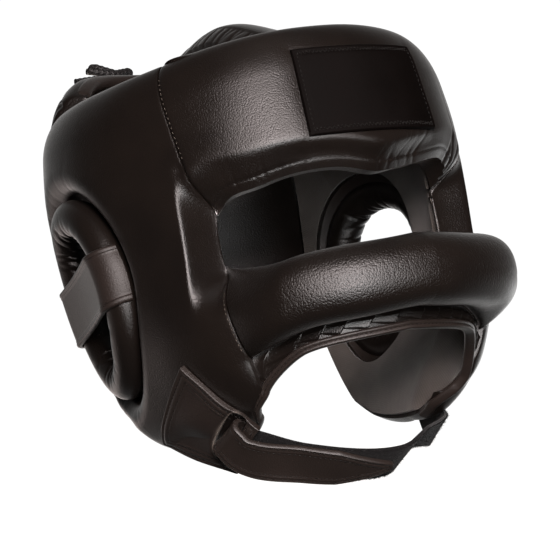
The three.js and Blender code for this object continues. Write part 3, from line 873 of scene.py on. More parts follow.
@dataclass(frozen=True)
class BraidedCord(Finish):
    """Braided polyester lace: black strands that cross, with a dull shine on each."""

    name: str = "braided_polyester_lace"
    strand: str = "1d1b1b"
    # near-black tone painted into the gaps between strands as painted shade
    gap_shade: str = "070707"
    pitch: float = 1.6

    def shade(self, tree: Tree) -> Node:
        """Two sets of slanting waves laid over each other, with painted shade in the gaps between strands.

        Args:
            tree: Tree that takes the nodes.

        Returns:
            The shader.
        """
        cloth = add_node(tree, "UVMap", uv_map="cloth").outputs[0]
        other = add_node(tree, "Mapping", {"Vector": cloth, "Scale": (1, -1, 1)}).outputs[0]
        slant, cross = (
            add_node(tree, "TexWave", {"Vector": way, "Scale": wave_scale(self.pitch)},
                     bands_direction="DIAGONAL").outputs["Fac"] for way in (cloth, other))
        braid = add_node(tree, "Math", {0: slant, 1: cross}, operation="MAXIMUM").outputs[0]
        colour = two_tone(tree, braid, self.gap_shade, self.strand)
        return textured(tree, braid, 0.9, 0.3, {"Base Color": colour, "Roughness": 0.6, "IOR": 1.55})


@dataclass(frozen=True)
class ClearTip(Finish):
    """Shrunk acetate lace tip: milky, smooth, with small ripples from the heat."""

    name: str = "acetate_lace_tip"
    colour: str = "d8d4cc"
    ripple: float = 2.5

    def shade(self, tree: Tree) -> Node:
        """Ripples in a glossy half-clear sleeve.

        Args:
            tree: Tree that takes the nodes.

        Returns:
            The shader.
        """
        place = add_node(tree, "TexCoord").outputs["Object"]
        ripple = add_node(
            tree, "TexNoise", {"Vector": place, "Scale": grain_scale(self.ripple), "Detail": 1.0})
        return textured(tree, ripple.outputs["Fac"], 0.4, 0.2, {
            "Base Color": linear(self.colour), "Roughness": 0.25, "IOR": 1.48, "Transmission Weight": 0.4})


@dataclass(frozen=True)
class StudioFloor(Finish):
    """Painted board: pale, matt and plain."""

    name: str = "painted_board_floor"
    colour: str = "f4f3f1"
    glow: float = 1.15  # stands for the studio's own light on the board
    roller: float = 6.0

    def shade(self, tree: Tree) -> Node:
        """Plain paint with a faint roller texture.

        Args:
            tree: Tree that takes the nodes.

        Returns:
            The shader.
        """
        place = add_node(tree, "TexCoord").outputs["Object"]
        roller = add_node(
            tree, "TexNoise", {"Vector": place, "Scale": grain_scale(self.roller), "Detail": 2.0})
        return textured(tree, roller.outputs["Fac"], 0.1, 0.1, {
            "Base Color": linear(self.colour), "Roughness": 0.85, "IOR": 1.45,
            "Emission Color": linear(self.colour), "Emission Strength": self.glow})


PAD_LEATHER = GrainLeather()
BAR_LEATHER = GrainLeather("coarse_grain_bar_leather", grain=1.0, lift=0.16, roughness=0.46)
STRAP_LEATHER = GrainLeather(
    "fine_grain_strap_leather", "292320", "2f2825", grain=0.9, lift=0.08, roughness=0.52)
PATCH_LEATHER = GrainLeather(
    "smooth_patch_leather", "0c0908", "0f0b0a", grain=0.8, lift=0.05, roughness=0.7, shine=0.1)
LINING = LiningCloth()
PILE = LoopPile()
PALE_THREAD = Thread("waxed_pale_thread", "7a7067", "453e38")
DARK_THREAD = Thread("waxed_black_thread", "211e1c", "100f0e")
LACE_CORD = BraidedCord()
LACE_TIP = ClearTip()
FLOOR = StudioFloor()

SEAM = Stitching(length=1.3, gap=1.5, thick=0.34)
FINE_SEAM = Stitching(length=1.7, gap=0.9, thick=0.34)
ZIGZAG = Stitching(length=1.7, gap=0.25, thick=0.5)


# Forehead


class Drawn(NamedTuple):
    """Rise of the brow where its seam was drawn up, at a share of the half width."""

    rise: float
    share: float
    width: float


@dataclass
class Forehead:
    """Padded forehead with its lining and its bare patch."""

    brow_middle: float = -7.5
    brow_corner: float = -21.0
    brow_bend: float = 6.0  # how late the brow turns down to its corners
    rim_middle: float = 68.0
    rim_corner: float = 58.0
    seam_low: float = 49.0
    seam_high: float = 59.0
    half_width: float = 92.0  # along the leather from the midline to a seam
    brow_crest: float = 10.2  # height of the crest over the brow, at the midline
    crest_rise: float = 8.5  # how much higher it lies at the corners
    brow_round: float = 1.0
    brow_fall: float = 0.6  # share of the padding that the slope under the crest takes
    left_fall: float = 0.5
    left_ends: tuple = (0.3, 0.65)
    brow_ease: float = 0.5  # hollow of the slope near the midline
    ease_ends: tuple = (0.3, 0.6)
    facing: float = 4.4  # height of the stitched facing over the brow edge
    facing_tilt: float = 0.27
    facing_dip: float = 0.5
    facing_dip_width: float = 0.8
    flush_width: float = 20.0  # how far from a seam the leather is brought level with the side
    sewn_from: float = 0.34
    sewn_to: float = 0.88
    sewn_inset: float = 0.7
    lining_rise: float = 0.06  # share of the height where the lining starts over the brow
    lining_share: float = 0.9
    lining_turning: float = 8.0
    patch_low: float = 7.0
    patch_high: float = 51.5
    patch_turn: float = 21.5
    patch_middle: float = 3.5  # turn of its middle, sewn on a little to the left
    patch_half: float = 38.0
    patch_lie: float = 0.8
    patch_dip: float = 1.3  # how far its seam draws the leather in
    patch_dip_reach: float = 7.0
    patch_degree: float = 1.8  # length of a degree of turn beside it
    patch_inset: float = 2.6
    patch_groove: float = 0.5  # fall at its stitches
    patch_edge: float = 0.9  # fall and width of its cut edge
    tooth: float = 1.1
    tooth_half: float = 0.825
    columns: int = 240
    rows: int = 120

    DRAWN = (
        Drawn(5.0, 0.72, 0.26), Drawn(-2.6, 0.06, 0.16), Drawn(-2.2, -0.72, 0.16), Drawn(2.2, -0.25, 0.3))
    GATHERS = (
        Puckers(-80, -34, 7.0, 0.4, 0.8, 6, lean=0.9, seed=4),
        Puckers(4, 34, 6.0, 0.7, 1.0, 7, lean=0.8, seed=9),
    )
    CORNER_GATHERS = Puckers(70, 90, 5.0, 1.6, 1.5, 14, lean=0.4, seed=6)
    SLACK = Undulation(0.2, 46, seed=5)
    LINING_GRID = 81, 41
    PATCH_GRID = 90, 60

    def edges(self, share: Array) -> Pair:
        """Heights of the brow and of the rim.

        Args:
            share: Share of the half width from the midline.

        Returns:
            The heights of both edges.
        """
        bend = np.abs(share) ** self.brow_bend
        drawn = sum(rise * bell(share - place, width) for rise, place, width in self.DRAWN)
        brow = mix(self.brow_middle, self.brow_corner, bend) + drawn * np.maximum(1 - bend, 0)
        return brow, mix(self.rim_middle, self.rim_corner, share**2)

    def seam_turn(self, z: Array) -> Array:
        """Turn of the seam with the side pad at heights."""
        up = (z - self.brow_corner) / (self.rim_corner - self.brow_corner)
        return mix(self.seam_low, self.seam_high, up)

    def depth(self, turn: Array, z: Array) -> Array:
        """Padding depth, rolled at the rim and sloped down to the facing over the brow.

        Args:
            turn: Turns in degrees from the face.
            z: Heights.

        Returns:
            The depth at each place.
        """
        share = turn / self.seam_turn(z)
        brow, rim = self.edges(share)
        over = z - brow
        crest = self.brow_crest + self.crest_rise * share**2
        gone = np.minimum(soft_past(crest - over, self.brow_round) / (crest - self.facing), 1.0)
        ease = self.brow_ease * (1 - smoothstep(np.abs(share), *self.ease_ends))
        fall = self.brow_fall * (1 - self.left_fall * smoothstep(share, *self.left_ends))
        slope = fall * (gone + ease * (gone - gone**3))
        facing = self.facing_tilt * (1 - np.clip(over / self.facing, 0.0, 1.0))
        return mix(EDGE_DEPTH, PAD_DEPTH, rolled(rim - z, ROLL) * (1 - slope - facing))

    def place(self, share: Array, up: Array) -> Pair:
        """Turn and height at shares of the width and of the height."""
        z = mix(*self.edges(share), up)
        return share * (self.seam_turn(z) - SEAM_SLIT), z

    def flush(self, share: Array, z: Array) -> Array:
        """Depth that brings the leather level with the side pad at a seam.

        Args:
            share: Share of the half width from the midline.
            z: Heights.

        Returns:
            The depth to add at each place.
        """
        seam = self.seam_turn(z)
        step = FORM.depth(flat_place(seam, z)) - self.depth(np.sign(share) * seam, z)
        return step * (1 - smoothstep((1 - np.abs(share)) * self.half_width, 0, self.flush_width))

    def relief(self, share: Array, z: Array) -> Array:
        """Fall of the leather at its seams, gathers and dents.

        Args:
            share: Share of the half width from the midline.
            z: Heights.

        Returns:
            The fall at each place.
        """
        along = share * self.half_width
        over = z - self.edges(share)[0] - self.facing
        from_patch = np.abs(share * self.seam_turn(z) - self.patch_middle) - self.patch_turn
        aside = np.maximum(from_patch, 0) * self.patch_degree
        past = np.maximum(np.maximum(self.patch_low - z, z - self.patch_high), 0)
        fall = self.patch_dip * np.exp(-np.hypot(aside, past) / self.patch_dip_reach)
        fall += SEAM_DIP * np.exp(-(1 - np.abs(share)) * self.half_width / SEAM_REACH)
        fall += self.facing_dip * bell(over, self.facing_dip_width)
        fall += sum(gathers.fall(along, np.abs(over)) for gathers in self.GATHERS)
        fall += self.CORNER_GATHERS.fall(along, np.maximum(over, 0))
        return fall - self.flush(share, z) - self.SLACK.rise(along, z)

    def build(self) -> None:
        """Make the pad, its lining, its patch and their stitches."""
        share = np.linspace(-1, 1, self.columns + 1)[:, None]
        up = crowded(self.rows)[None, :]
        turn, z = self.place(share, up)
        outer = SHELL.point(turn, z, self.depth(turn, z) - self.relief(share, z))
        inner = SHELL.point(*self.place(share, np.linspace(0, 1, INNER_ROWS)[None, :]), PAD_FLOOR)
        pad = slab("forehead_leather", outer, inner, PAD_LEATHER)
        hand_over(pad, ("forehead_pad",))
        self.sew(Face(outer), share[:, 0], up[0])
        self.line()
        self.patch()

    def sew(self, face: Face, share: Array, up: Array) -> None:
        """Stitch the seams at both ends and the facing over the brow.

        Args:
            face: Dressed outer face.
            share: Share of the half width at its columns.
            up: Share of the height at its rows.
        """
        columns, rows = np.arange(len(share)), np.arange(len(up))
        rise = np.interp(np.linspace(self.sewn_from, self.sewn_to, 160), up, rows)
        inset = np.interp(1 - self.sewn_inset / self.half_width, share, columns)
        ends = [face.run(place, rise) for place in (inset, columns[-1] - inset)]
        SEAM.sew("forehead_seam_stitches", ends, PALE_THREAD)
        brow, rim = self.edges(share)
        facing = np.interp(self.facing / (rim - brow), up, rows)
        kept = slice(4, -4)
        FINE_SEAM.sew("brow_stitches", [face.run(columns[kept], facing[kept])], DARK_THREAD)

    def line(self) -> None:
        """Line the inside with cloth that shows under the brow."""
        columns, rows = self.LINING_GRID
        share, up = np.linspace(-1, 1, columns)[:, None], np.linspace(self.lining_rise, 1, rows)[None, :]
        place = self.place(share, up)
        faces = [SHELL.point(*place, depth) for depth in (LEATHER, 0.0)]
        lining = slab("forehead_cloth", *faces, LINING)
        hand_over(lining, ("forehead_lining",))

    def patch(self) -> None:
        """Sew the bare patch on the middle of the forehead."""
        columns, rows = self.PATCH_GRID
        across = np.linspace(-1, 1, columns + 1)[:, None]
        up = np.linspace(0, 1, rows + 1)[None, :]
        turn = self.patch_middle + self.patch_turn * across
        z = mix(self.patch_low, self.patch_high, up)
        wide, tall = self.patch_half, self.patch_high - self.patch_low
        from_edge = np.minimum((1 - np.abs(across)) * wide, np.minimum(up, 1 - up) * tall)
        sewn = self.patch_groove * bell(from_edge - self.patch_inset, self.patch_edge)
        sewn = sewn + edge_fall(from_edge, self.patch_edge, self.patch_edge)
        base = self.depth(turn, z) - self.patch_dip + self.patch_lie
        outer = SHELL.point(turn, z, base + LEATHER - sewn)
        patch = slab("patch_leather", outer, SHELL.point(turn, z, base), PATCH_LEATHER)
        hand_over(patch, ("forehead_patch",))
        face = Face(outer)
        aside, below = columns * self.patch_inset / (2 * wide), rows * self.patch_inset / tall
        ends = np.linspace(below, rows - below, 90)
        sides = [face.run(place, ends) for place in (aside, columns - aside)]
        teeth = np.arange(2 * round(wide / self.tooth))
        swing = np.where(teeth % 2 == 0, -1, 1) * self.tooth_half * rows / tall
        places = np.linspace(aside, columns - aside, len(teeth))
        zigzag = [face.run(places, place + swing) for place in (below, rows - below)]
        FINE_SEAM.sew("patch_side_stitches", sides, DARK_THREAD)
        ZIGZAG.sew("patch_zigzag_stitches", zigzag, DARK_THREAD)


# Sides


class Corner(NamedTuple):
    """Corner of an outline, and the bow, roll and edge padding of the edge that runs on from it."""

    at: str
    turn: float
    z: float
    bow: float = 0.0
    roll: float = 0.0
    left: float = 1.0


@dataclass
class Edge:
    """Edge of an outline as flat points."""

    corner: Corner
    points: Array

    def fine(self, pitch: float) -> Array:
        """Points about a pitch apart, without the last.

        Args:
            pitch: Distance between points.

        Returns:
            The flat points.
        """
        gone = lengths(self.points)
        places = np.linspace(0, gone[-1], max(2, round(gone[-1] / pitch)), endpoint=False)
        return between(places, gone, self.points)


def outline_edges(corners: tuple) -> list[Edge]:
    """Edges round a list of corners.

    Args:
        corners: Corners in order.

    Returns:
        The edges, each from its corner to the next.
    """
    edges = []
    t = np.linspace(0, 1, 25)[:, None]
    for corner, after in zip(corners, (*corners[1:], corners[0])):
        start, end = flat_place(corner.turn, corner.z), flat_place(after.turn, after.z)
        run = unit(end - start)
        middle = (start + end) / 2 + 2 * corner.bow * np.array([-run[1], run[0]])
        edges.append(Edge(corner, (1 - t) ** 2 * start + 2 * t * (1 - t) * middle + t * t * end))
    return edges


class SideForm:
    """Outline and padding of a side, drawn on the wearer's left."""

    CORNERS = (
        Corner("rim at the forehead", 59, 58, -2, ROLL, 0),
        Corner("rim at the back", 128, 50),
        Corner("nape", 128, -72, 6, ROLL, 0),
        Corner("jaw angle", 106, -125, 4, ROLL, 0),
        Corner("jaw", 68, -136, 3, ROLL, 0),
        Corner("mouth below", 48.5, -124, -1.5, 12, 0.8),
        Corner("mouth above", 42.5, -104, 0, 12, 0.8),
        Corner("bar below", 43.5, -90),
        Corner("bar above", 49, -47, -1),
        Corner("eye corner", 49, -21),
    )
    SEAMS = {"rim at the back": SEAM_DIP, "bar below": FLUSH_DIP, "eye corner": FLUSH_DIP}
    EAR_TURN, EAR_Z = 101.0, -51.0
    EAR = flat_place(EAR_TURN, EAR_Z)
    EAR_LONG, EAR_SHORT, EAR_LEAN, EAR_TUBE = 43.0, 34.0, 20.0, 10.0
    EAR_FRONT = 1.22  # how much fuller the front half of the opening is
    EAR_GATHERS = 0.2  # share of its gathers that is left in front and behind
    HOLE_ROOM, HOLE_ROLL, HOLE_LEFT = 1.9, 12.0, 0.3
    FLARE_DEPTH, FLARE_WIDTH, FLARE_WALL = 15.0, 42.0, 5.0
    TEMPLE_FULLER, TEMPLE_TURN, TEMPLE_WIDTH = 2.8, 102, 22  # padding added over the temples
    EYE_LINE = flat_place([49.5, 49, 48.6], [10, -21, -85])
    EYE_STRIP, EYE_CREST = 11.3, 0.5  # width of the strip beside the eye and roundness of its crest
    EYE_FALL, EYE_CURVE = 1.32, 1.4  # how far it falls, and how hollow it is
    EYE_LOW, EYE_HIGH = (-74, -50), (-21, 0)  # heights over which it dies out
    EYE_LIP, EYE_BEVEL = 1.2, 13.0  # leather left at the eye's edge, and width of the slope inside it
    CHEEK_PITCH = 6.0

    def __init__(self) -> None:
        """Work out the edges."""
        self.edges = outline_edges(self.CORNERS)
        self.by_name = {edge.corner.at: edge for edge in self.edges}

    def outline(self, pitch: float) -> Array:
        """Points round the whole side."""
        return np.concatenate([edge.fine(pitch) for edge in self.edges])

    def distance(self, places: Array, name: str) -> Array:
        """Distance of flat places from the edge that starts at a corner."""
        return run_distance(places, self.by_name[name].points)

    def ear_half(self, ahead: Array) -> Array:
        """Half width of the ear's opening, in front where the sign is negative."""
        return np.where(ahead < 0, self.EAR_FRONT, 1.0) * self.EAR_SHORT

    def ear_gathers(self, angle: Array) -> Array:
        """Share of the gathers round the ear, full at its upper and lower ends."""
        return mix(self.EAR_GATHERS, 1, np.cos(angle) ** 2)

    def ear_share(self, places: Array) -> Array:
        """Share of the way from the ear's middle to places where the ear hole ends.

        Args:
            places: Flat places.

        Returns:
            One share for each place.
        """
        arm = places - self.EAR
        x, y = turned(arm[..., 0], arm[..., 1], self.EAR_LEAN)
        reach = self.EAR_TUBE + self.HOLE_ROOM
        return 1 / np.maximum(np.hypot(x / (self.ear_half(x) + reach), y / (self.EAR_LONG + reach)), TINY)

    def from_ear(self, places: Array) -> Array:
        """Distance out from the edge of the ear hole."""
        return np.linalg.norm(places - self.EAR, axis=-1) * (1 - self.ear_share(places))

    def depth(self, places: Array) -> Array:
        """Padding depth, rolled at the open edges and round the ear.

        Args:
            places: Flat places.

        Returns:
            The depth at each place.
        """
        rise = self.shoulder(places)
        for edge in self.edges:
            if edge.corner.roll > 0:
                distance = run_distance(places, edge.points)
                rise = rise * mix(edge.corner.left, 1, rolled(distance, edge.corner.roll))
        rise = rise * mix(self.HOLE_LEFT, 1, rolled(self.from_ear(places), self.HOLE_ROLL))
        temple = bell(places[..., 0] / DEGREE - self.TEMPLE_TURN, self.TEMPLE_WIDTH)
        return mix(EDGE_DEPTH, PAD_DEPTH + self.TEMPLE_FULLER * temple, rise)

    def shoulder(self, places: Array) -> Array:
        """Share of the padding beside the eye: a steep strip up to a crest, dying out past both ends.

        Args:
            places: Flat places.

        Returns:
            One share for each place.
        """
        z = places[..., 1]
        fade = smoothstep(z, *self.EYE_LOW) * (1 - smoothstep(z, *self.EYE_HIGH))
        short = soft_past(self.EYE_STRIP - run_distance(places, self.EYE_LINE), self.EYE_CREST)
        left = 1 - np.minimum(short / self.EYE_STRIP, 1.0)
        return 1 - fade * self.EYE_FALL * (1 - left**self.EYE_CURVE)

    def floor(self, places: Array) -> Array:
        """Depth where the padding starts, carried outwards to the edges of the mouth and eye openings.

        Args:
            places: Flat places.

        Returns:
            The depth at each place.
        """
        depth = self.depth(places)
        mouth = np.minimum(self.distance(places, "mouth below"), self.distance(places, "mouth above"))
        flared = self.FLARE_DEPTH * (1 - smoothstep(mouth, 0, self.FLARE_WIDTH))
        flared = np.minimum(flared, depth - self.FLARE_WALL)
        eye = self.distance(places, "bar above")
        bevel = (depth - self.EYE_LIP) * (1 - smoothstep(eye, 0, self.EYE_BEVEL))
        return np.maximum(PAD_FLOOR, np.maximum(flared, bevel))

    def cheek(self, places: Array) -> Array:
        """Padding under places on a cheek or just past its edge."""
        return np.where(is_within(places, self.outline(self.CHEEK_PITCH)), self.depth(places), EDGE_DEPTH)

    def beside(self, name: str, up: Number, out: Number, sign: Number, aside: float) -> Array:
        """Points beside an edge, by the way up it and out through its wall.

        Args:
            name: Corner that the edge starts at.
            up: Share of the way along the edge.
            out: Share of the way out through the wall.
            sign: Side of the midline.
            aside: Distance square to the edge.

        Returns:
            The points.
        """
        points = self.by_name[name].points
        places = between(np.atleast_1d(up) * (len(points) - 1), np.arange(len(points)), points)
        depth = mix(self.floor(places), self.depth(places), out)
        run = unit(points[-1] - points[0])
        places = places + aside * np.array([-run[1], run[0]])
        return SHELL.point(sign * places[..., 0] / DEGREE, places[..., 1], depth)


FORM = SideForm()


@dataclass
class SidePad:
    """Padded side from the rim to the jaw, with its cloth lining."""

    side: Side
    pitch: float = 1.25
    rows: int = 84
    lining_end: float = 0.955  # share of the way out where the lining stops
    lining_pitch: float = 2.6
    lining_rows: int = 25
    ear_round: float = 46.0
    dimple: float = 1.0  # where the seams meet over the eye corner
    dimple_width: float = 3.5
    bar_seam: tuple = (0.12, 0.72)  # shares of the bar seam that show stitches
    bar_inset: float = 0.8
    seam_pitch: float = 1.0
    eye_pitch: float = 0.8

    DIMPLE = flat_place(53, 1)

    def relief(self, places: Array) -> Array:
        """Fall of the leather at its seams, gathers and dents.

        Args:
            places: Flat places.

        Returns:
            The fall at each place.
        """
        seed = 20 if self.side is Side.LEFT else 30
        fall = self.dimple * bell(np.linalg.norm(places - self.DIMPLE, axis=-1), self.dimple_width)
        for name, dip in FORM.SEAMS.items():
            fall += dip * np.exp(-FORM.distance(places, name) / SEAM_REACH)
        arm = places - FORM.EAR
        angle = np.arctan2(arm[..., 0], arm[..., 1])
        gathers = Puckers(-145, 145, 9, 0.5, 1.3, 7, lean=0.4, seed=seed)
        fall += gathers.fall(angle * self.ear_round, FORM.from_ear(places)) * FORM.ear_gathers(angle)
        return fall - Undulation(0.22, 52, seed=seed + 1).rise(places[..., 0], places[..., 1])

    def places(self, rows: Array, pitch: float) -> Array:
        """Flat places between the ear hole and the outline.

        Args:
            rows: Shares of the way out.
            pitch: Distance between places round the outline.

        Returns:
            The places, by column and row.
        """
        edge = FORM.outline(pitch)
        way = mix(FORM.ear_share(edge)[:, None], 1.0, rows[None, :])
        return FORM.EAR + (edge - FORM.EAR)[:, None] * way[..., None]

    def raise_to(self, places: Array, depth: Array) -> Array:
        """Points at a depth over flat places, on this side."""
        return mirrored(raised(places, depth), self.side)

    def dressed(self, places: Array) -> Array:
        """Points on the dressed leather."""
        return self.raise_to(places, FORM.depth(places) - self.relief(places))

    def build(self) -> None:
        """Make the pad, its lining and their stitches."""
        word = self.side.word
        outer = self.dressed(self.places(crowded(self.rows), self.pitch))
        under = self.places(np.linspace(0, 1, INNER_ROWS), self.pitch)
        inner = self.raise_to(under, FORM.floor(under))
        pad = slab(f"side_leather_{word}", outer, inner, PAD_LEATHER, comes_round=True)
        hand_over(pad, (f"side_pad_{word}",))
        self.line()
        self.sew()

    def line(self) -> None:
        """Line the inside with cloth."""
        word = self.side.word
        places = self.places(np.linspace(0, self.lining_end, self.lining_rows), self.lining_pitch)
        floor = FORM.floor(places)
        faces = [self.raise_to(places, floor - fall) for fall in (LINING_GAP, PAD_FLOOR)]
        lining = slab(f"side_cloth_{word}", *faces, LINING, comes_round=True)
        hand_over(lining, (f"side_lining_{word}",))

    def bar_run(self) -> Pair:
        """Run on the dressed leather beside the bar seam.

        Returns:
            The points and the directions out of the leather.
        """
        points = FORM.by_name["bar below"].fine(self.seam_pitch)
        way = unit(np.gradient(points, axis=0))
        inward = np.stack([way[:, 1], -way[:, 0]], axis=-1)
        kept = slice(*(int(share * len(points)) for share in self.bar_seam))
        grid = points[kept, None] + inward[kept, None] * np.array([[1.0], [2.0]]) * self.bar_inset
        out = mirrored(SHELL.outward(grid[:, :1, 0] / DEGREE, grid[:, :1, 1]), self.side)
        face = Face(self.dressed(grid)).facing(out)
        return face.points[:, 0], face.normals[:, 0]

    def sew(self) -> None:
        """Stitch the bar seam and the edge of the eye opening."""
        word = self.side.word
        SEAM.sew(f"bar_seam_stitches_{word}", [self.bar_run()], PALE_THREAD)
        points = FORM.by_name["bar above"].fine(self.eye_pitch)
        middle = (FORM.floor(points) + FORM.depth(points)) / 2
        edge = self.raise_to(points, middle)
        ahead = self.raise_to(points - flat_place(2, 0), middle)
        # The eye edge's thread tone is painted light and shade: pale on the left, whose edge faces the light,
        # dark on the right, whose edge lies in shade.
        thread = PALE_THREAD if self.side is Side.LEFT else DARK_THREAD
        SEAM.sew(f"eye_edge_stitches_{word}", [(edge, unit(ahead - edge))], thread)


@dataclass
class EarRing:
    """Padded ring in the ear opening, gathered on its inner side, with the web that joins it to the pad."""

    side: Side
    depth: float = 15.0
    stand: float = -2.6  # how much further out the rear arm stands
    inner_share: float = 0.15  # share of the gathers at the ring's crown
    ring_round: float = 38.0  # length of a radian round the ring
    slant: float = 4.0
    reach: float = 26.0  # round the ring from its inner side to its outer
    slack: float = 0.12
    web_start: float = 2.0
    web_past: float = 1.5
    web_behind: float = 4.5
    web_depth: float = 6.0
    web_thick: float = 1.2
    web_rows: int = 7
    stations: int = 320
    sides: int = 48

    @staticmethod
    def place(angle: Array, grow: Number = 0.0) -> Pair:
        """Turn and height round the ring.

        Args:
            angle: Angle from the ring's upper end.
            grow: Distance outwards from its centre line.

        Returns:
            The turns and the heights.
        """
        x = (FORM.ear_half(np.sin(angle)) + grow) * np.sin(angle)
        across, up = turned(x, (FORM.EAR_LONG + grow) * np.cos(angle), -FORM.EAR_LEAN)
        return FORM.EAR_TURN + across / DEGREE, FORM.EAR_Z + up

    def centre(self, angle: Array) -> Array:
        """Centre line of the ring, drawn on the left."""
        return SHELL.point(*self.place(angle), self.depth + self.stand * np.sin(angle))

    def build(self) -> None:
        """Make the ring and its web."""
        word = self.side.word
        seed = 41 if self.side is Side.LEFT else 43
        angle = circle(self.stations)
        out = SHELL.outward(*self.place(angle))
        centre = self.centre(angle)
        step = 0.02
        along = unit(self.centre(angle + step) - self.centre(angle - step))
        away = unit(np.cross(out, along))
        around = circle(self.sides)
        middle = SHELL.point(FORM.EAR_TURN, FORM.EAR_Z, self.depth)
        inward = math.copysign(1, ((middle - centre) * away).sum())
        inner = np.clip(mix(inward * np.cos(around), 1, self.inner_share), 0, 1)[None, :]
        run = (np.angle(np.exp(1j * angle)) * self.ring_round)[:, None]
        lean = self.slant * np.sin(around)[None, :]
        gathers = Puckers(-119, 119, 7.0, 1.6, 1.3, 60, lean=0.5, seed=seed)
        fall = gathers.fall(run + lean, (1 - inner) * self.reach) * inner * FORM.ear_gathers(angle)[:, None]
        radius = FORM.EAR_TUBE - fall + self.slack * Undulation(1.0, 34, seed).rise(run, lean * 6)
        ring = centre[:, None] + away[:, None] * (radius * np.cos(around))[..., None]
        ring = ring + out[:, None] * (radius * np.sin(around))[..., None]
        piece = loft(f"ear_ring_leather_{word}", mirrored(ring, self.side), PAD_LEATHER, comes_round=True)
        hand_over(piece, (f"ear_ring_{word}",))
        self.web(angle)

    def web(self, angle: Array) -> None:
        """Join the ring to the pad with a strip of leather behind both.

        Args:
            angle: Angles of the ring's stations.
        """
        grow = np.linspace(self.web_start, FORM.EAR_TUBE + FORM.HOLE_ROOM + self.web_past, self.web_rows)
        depth = np.linspace(self.depth - self.web_behind, self.web_depth, self.web_rows)
        place = self.place(angle[:, None], grow)
        faces = [mirrored(SHELL.point(*place, depth - fall), self.side) for fall in (0, self.web_thick)]
        web = slab(f"ear_web_{self.side.word}", *faces, STRAP_LEATHER, comes_round=True)
        hand_over(web)


@dataclass
class EarStrap:
    """Hemmed strap wrapped over both arms of an ear ring."""

    side: Side
    wide: float = 30.0
    thick: float = 2.0
    hold: float = 0.9
    wrap: float = -8.0  # angle round each arm where it ends
    twist: float = 0.14  # how far round the ring both ends are slid
    sag: float = 1.1
    hem: Hem = Hem(2.9, 3.7, rise=0.55, groove=0.5, rows=(2.5,))
    rows: int = 60

    def wrapped(self, share: Array, radius: Array) -> Array:
        """Points over both arms of the ring and straight between them, on this side.

        Args:
            share: Shares of the width from the middle.
            radius: Distance from the arms' centre lines at each share.

        Returns:
            The points, by station and share.
        """
        ring = EarRing(self.side)
        slide = np.pi / 2 - np.arcsin(share * self.wide / FORM.EAR_LONG)
        front, rear = (ring.centre(sign * slide - self.twist) for sign in (-1, 1))
        forward = unit(front - rear)
        lift = square_to(SHELL.outward(FORM.EAR_TURN, FORM.EAR_Z), forward)
        arc = np.radians(np.linspace(self.wrap, 90, 26))[:, None, None]
        ends = []
        for middle, sign in ((front, 1), (rear, -1)):
            swing = sign * np.cos(arc) * forward + np.sin(arc) * lift
            ends.append(middle + radius[:, None] * swing)
        straight = np.linspace(0, 1, 42)[1:-1, None, None]
        across = mix(ends[0][-1], ends[1][-1], straight) - self.sag * np.sin(np.pi * straight) * lift
        return mirrored(np.concatenate([ends[0], across, ends[1][::-1]]), self.side)

    def build(self) -> None:
        """Make the strap and its stitches."""
        word = self.side.word
        share = np.linspace(-0.5, 0.5, self.rows + 1)
        from_edge = (0.5 - np.abs(share)) * self.wide
        hold = FORM.EAR_TUBE + self.hold
        top = hold + self.thick + self.hem.lift(from_edge) - edge_fall(from_edge, 0.8, 1.0)
        outer = self.wrapped(share, top)
        inner = self.wrapped(share, np.full(share.shape, hold))
        strap = slab(f"ear_strap_leather_{word}", outer, inner, STRAP_LEATHER)
        hand_over(strap, (f"ear_strap_{word}",))
        # The thread is pulled in until only its crest shows
        face = Face(outer).facing(-mirrored(SHELL.outward(FORM.EAR_TURN, FORM.EAR_Z), self.side))
        columns = np.arange(2, len(outer) - 2)
        inset = self.hem.rows[0] / self.wide * self.rows
        runs = [face.run(columns, row) for row in (inset, self.rows - inset)]
        FINE_SEAM.sew(f"ear_strap_stitches_{word}", runs, DARK_THREAD)


# Face bar


class BarSection(NamedTuple):
    """Height of the bar's middle and its section at a share of its half length."""

    along: float
    z: float
    depth: float
    height: float


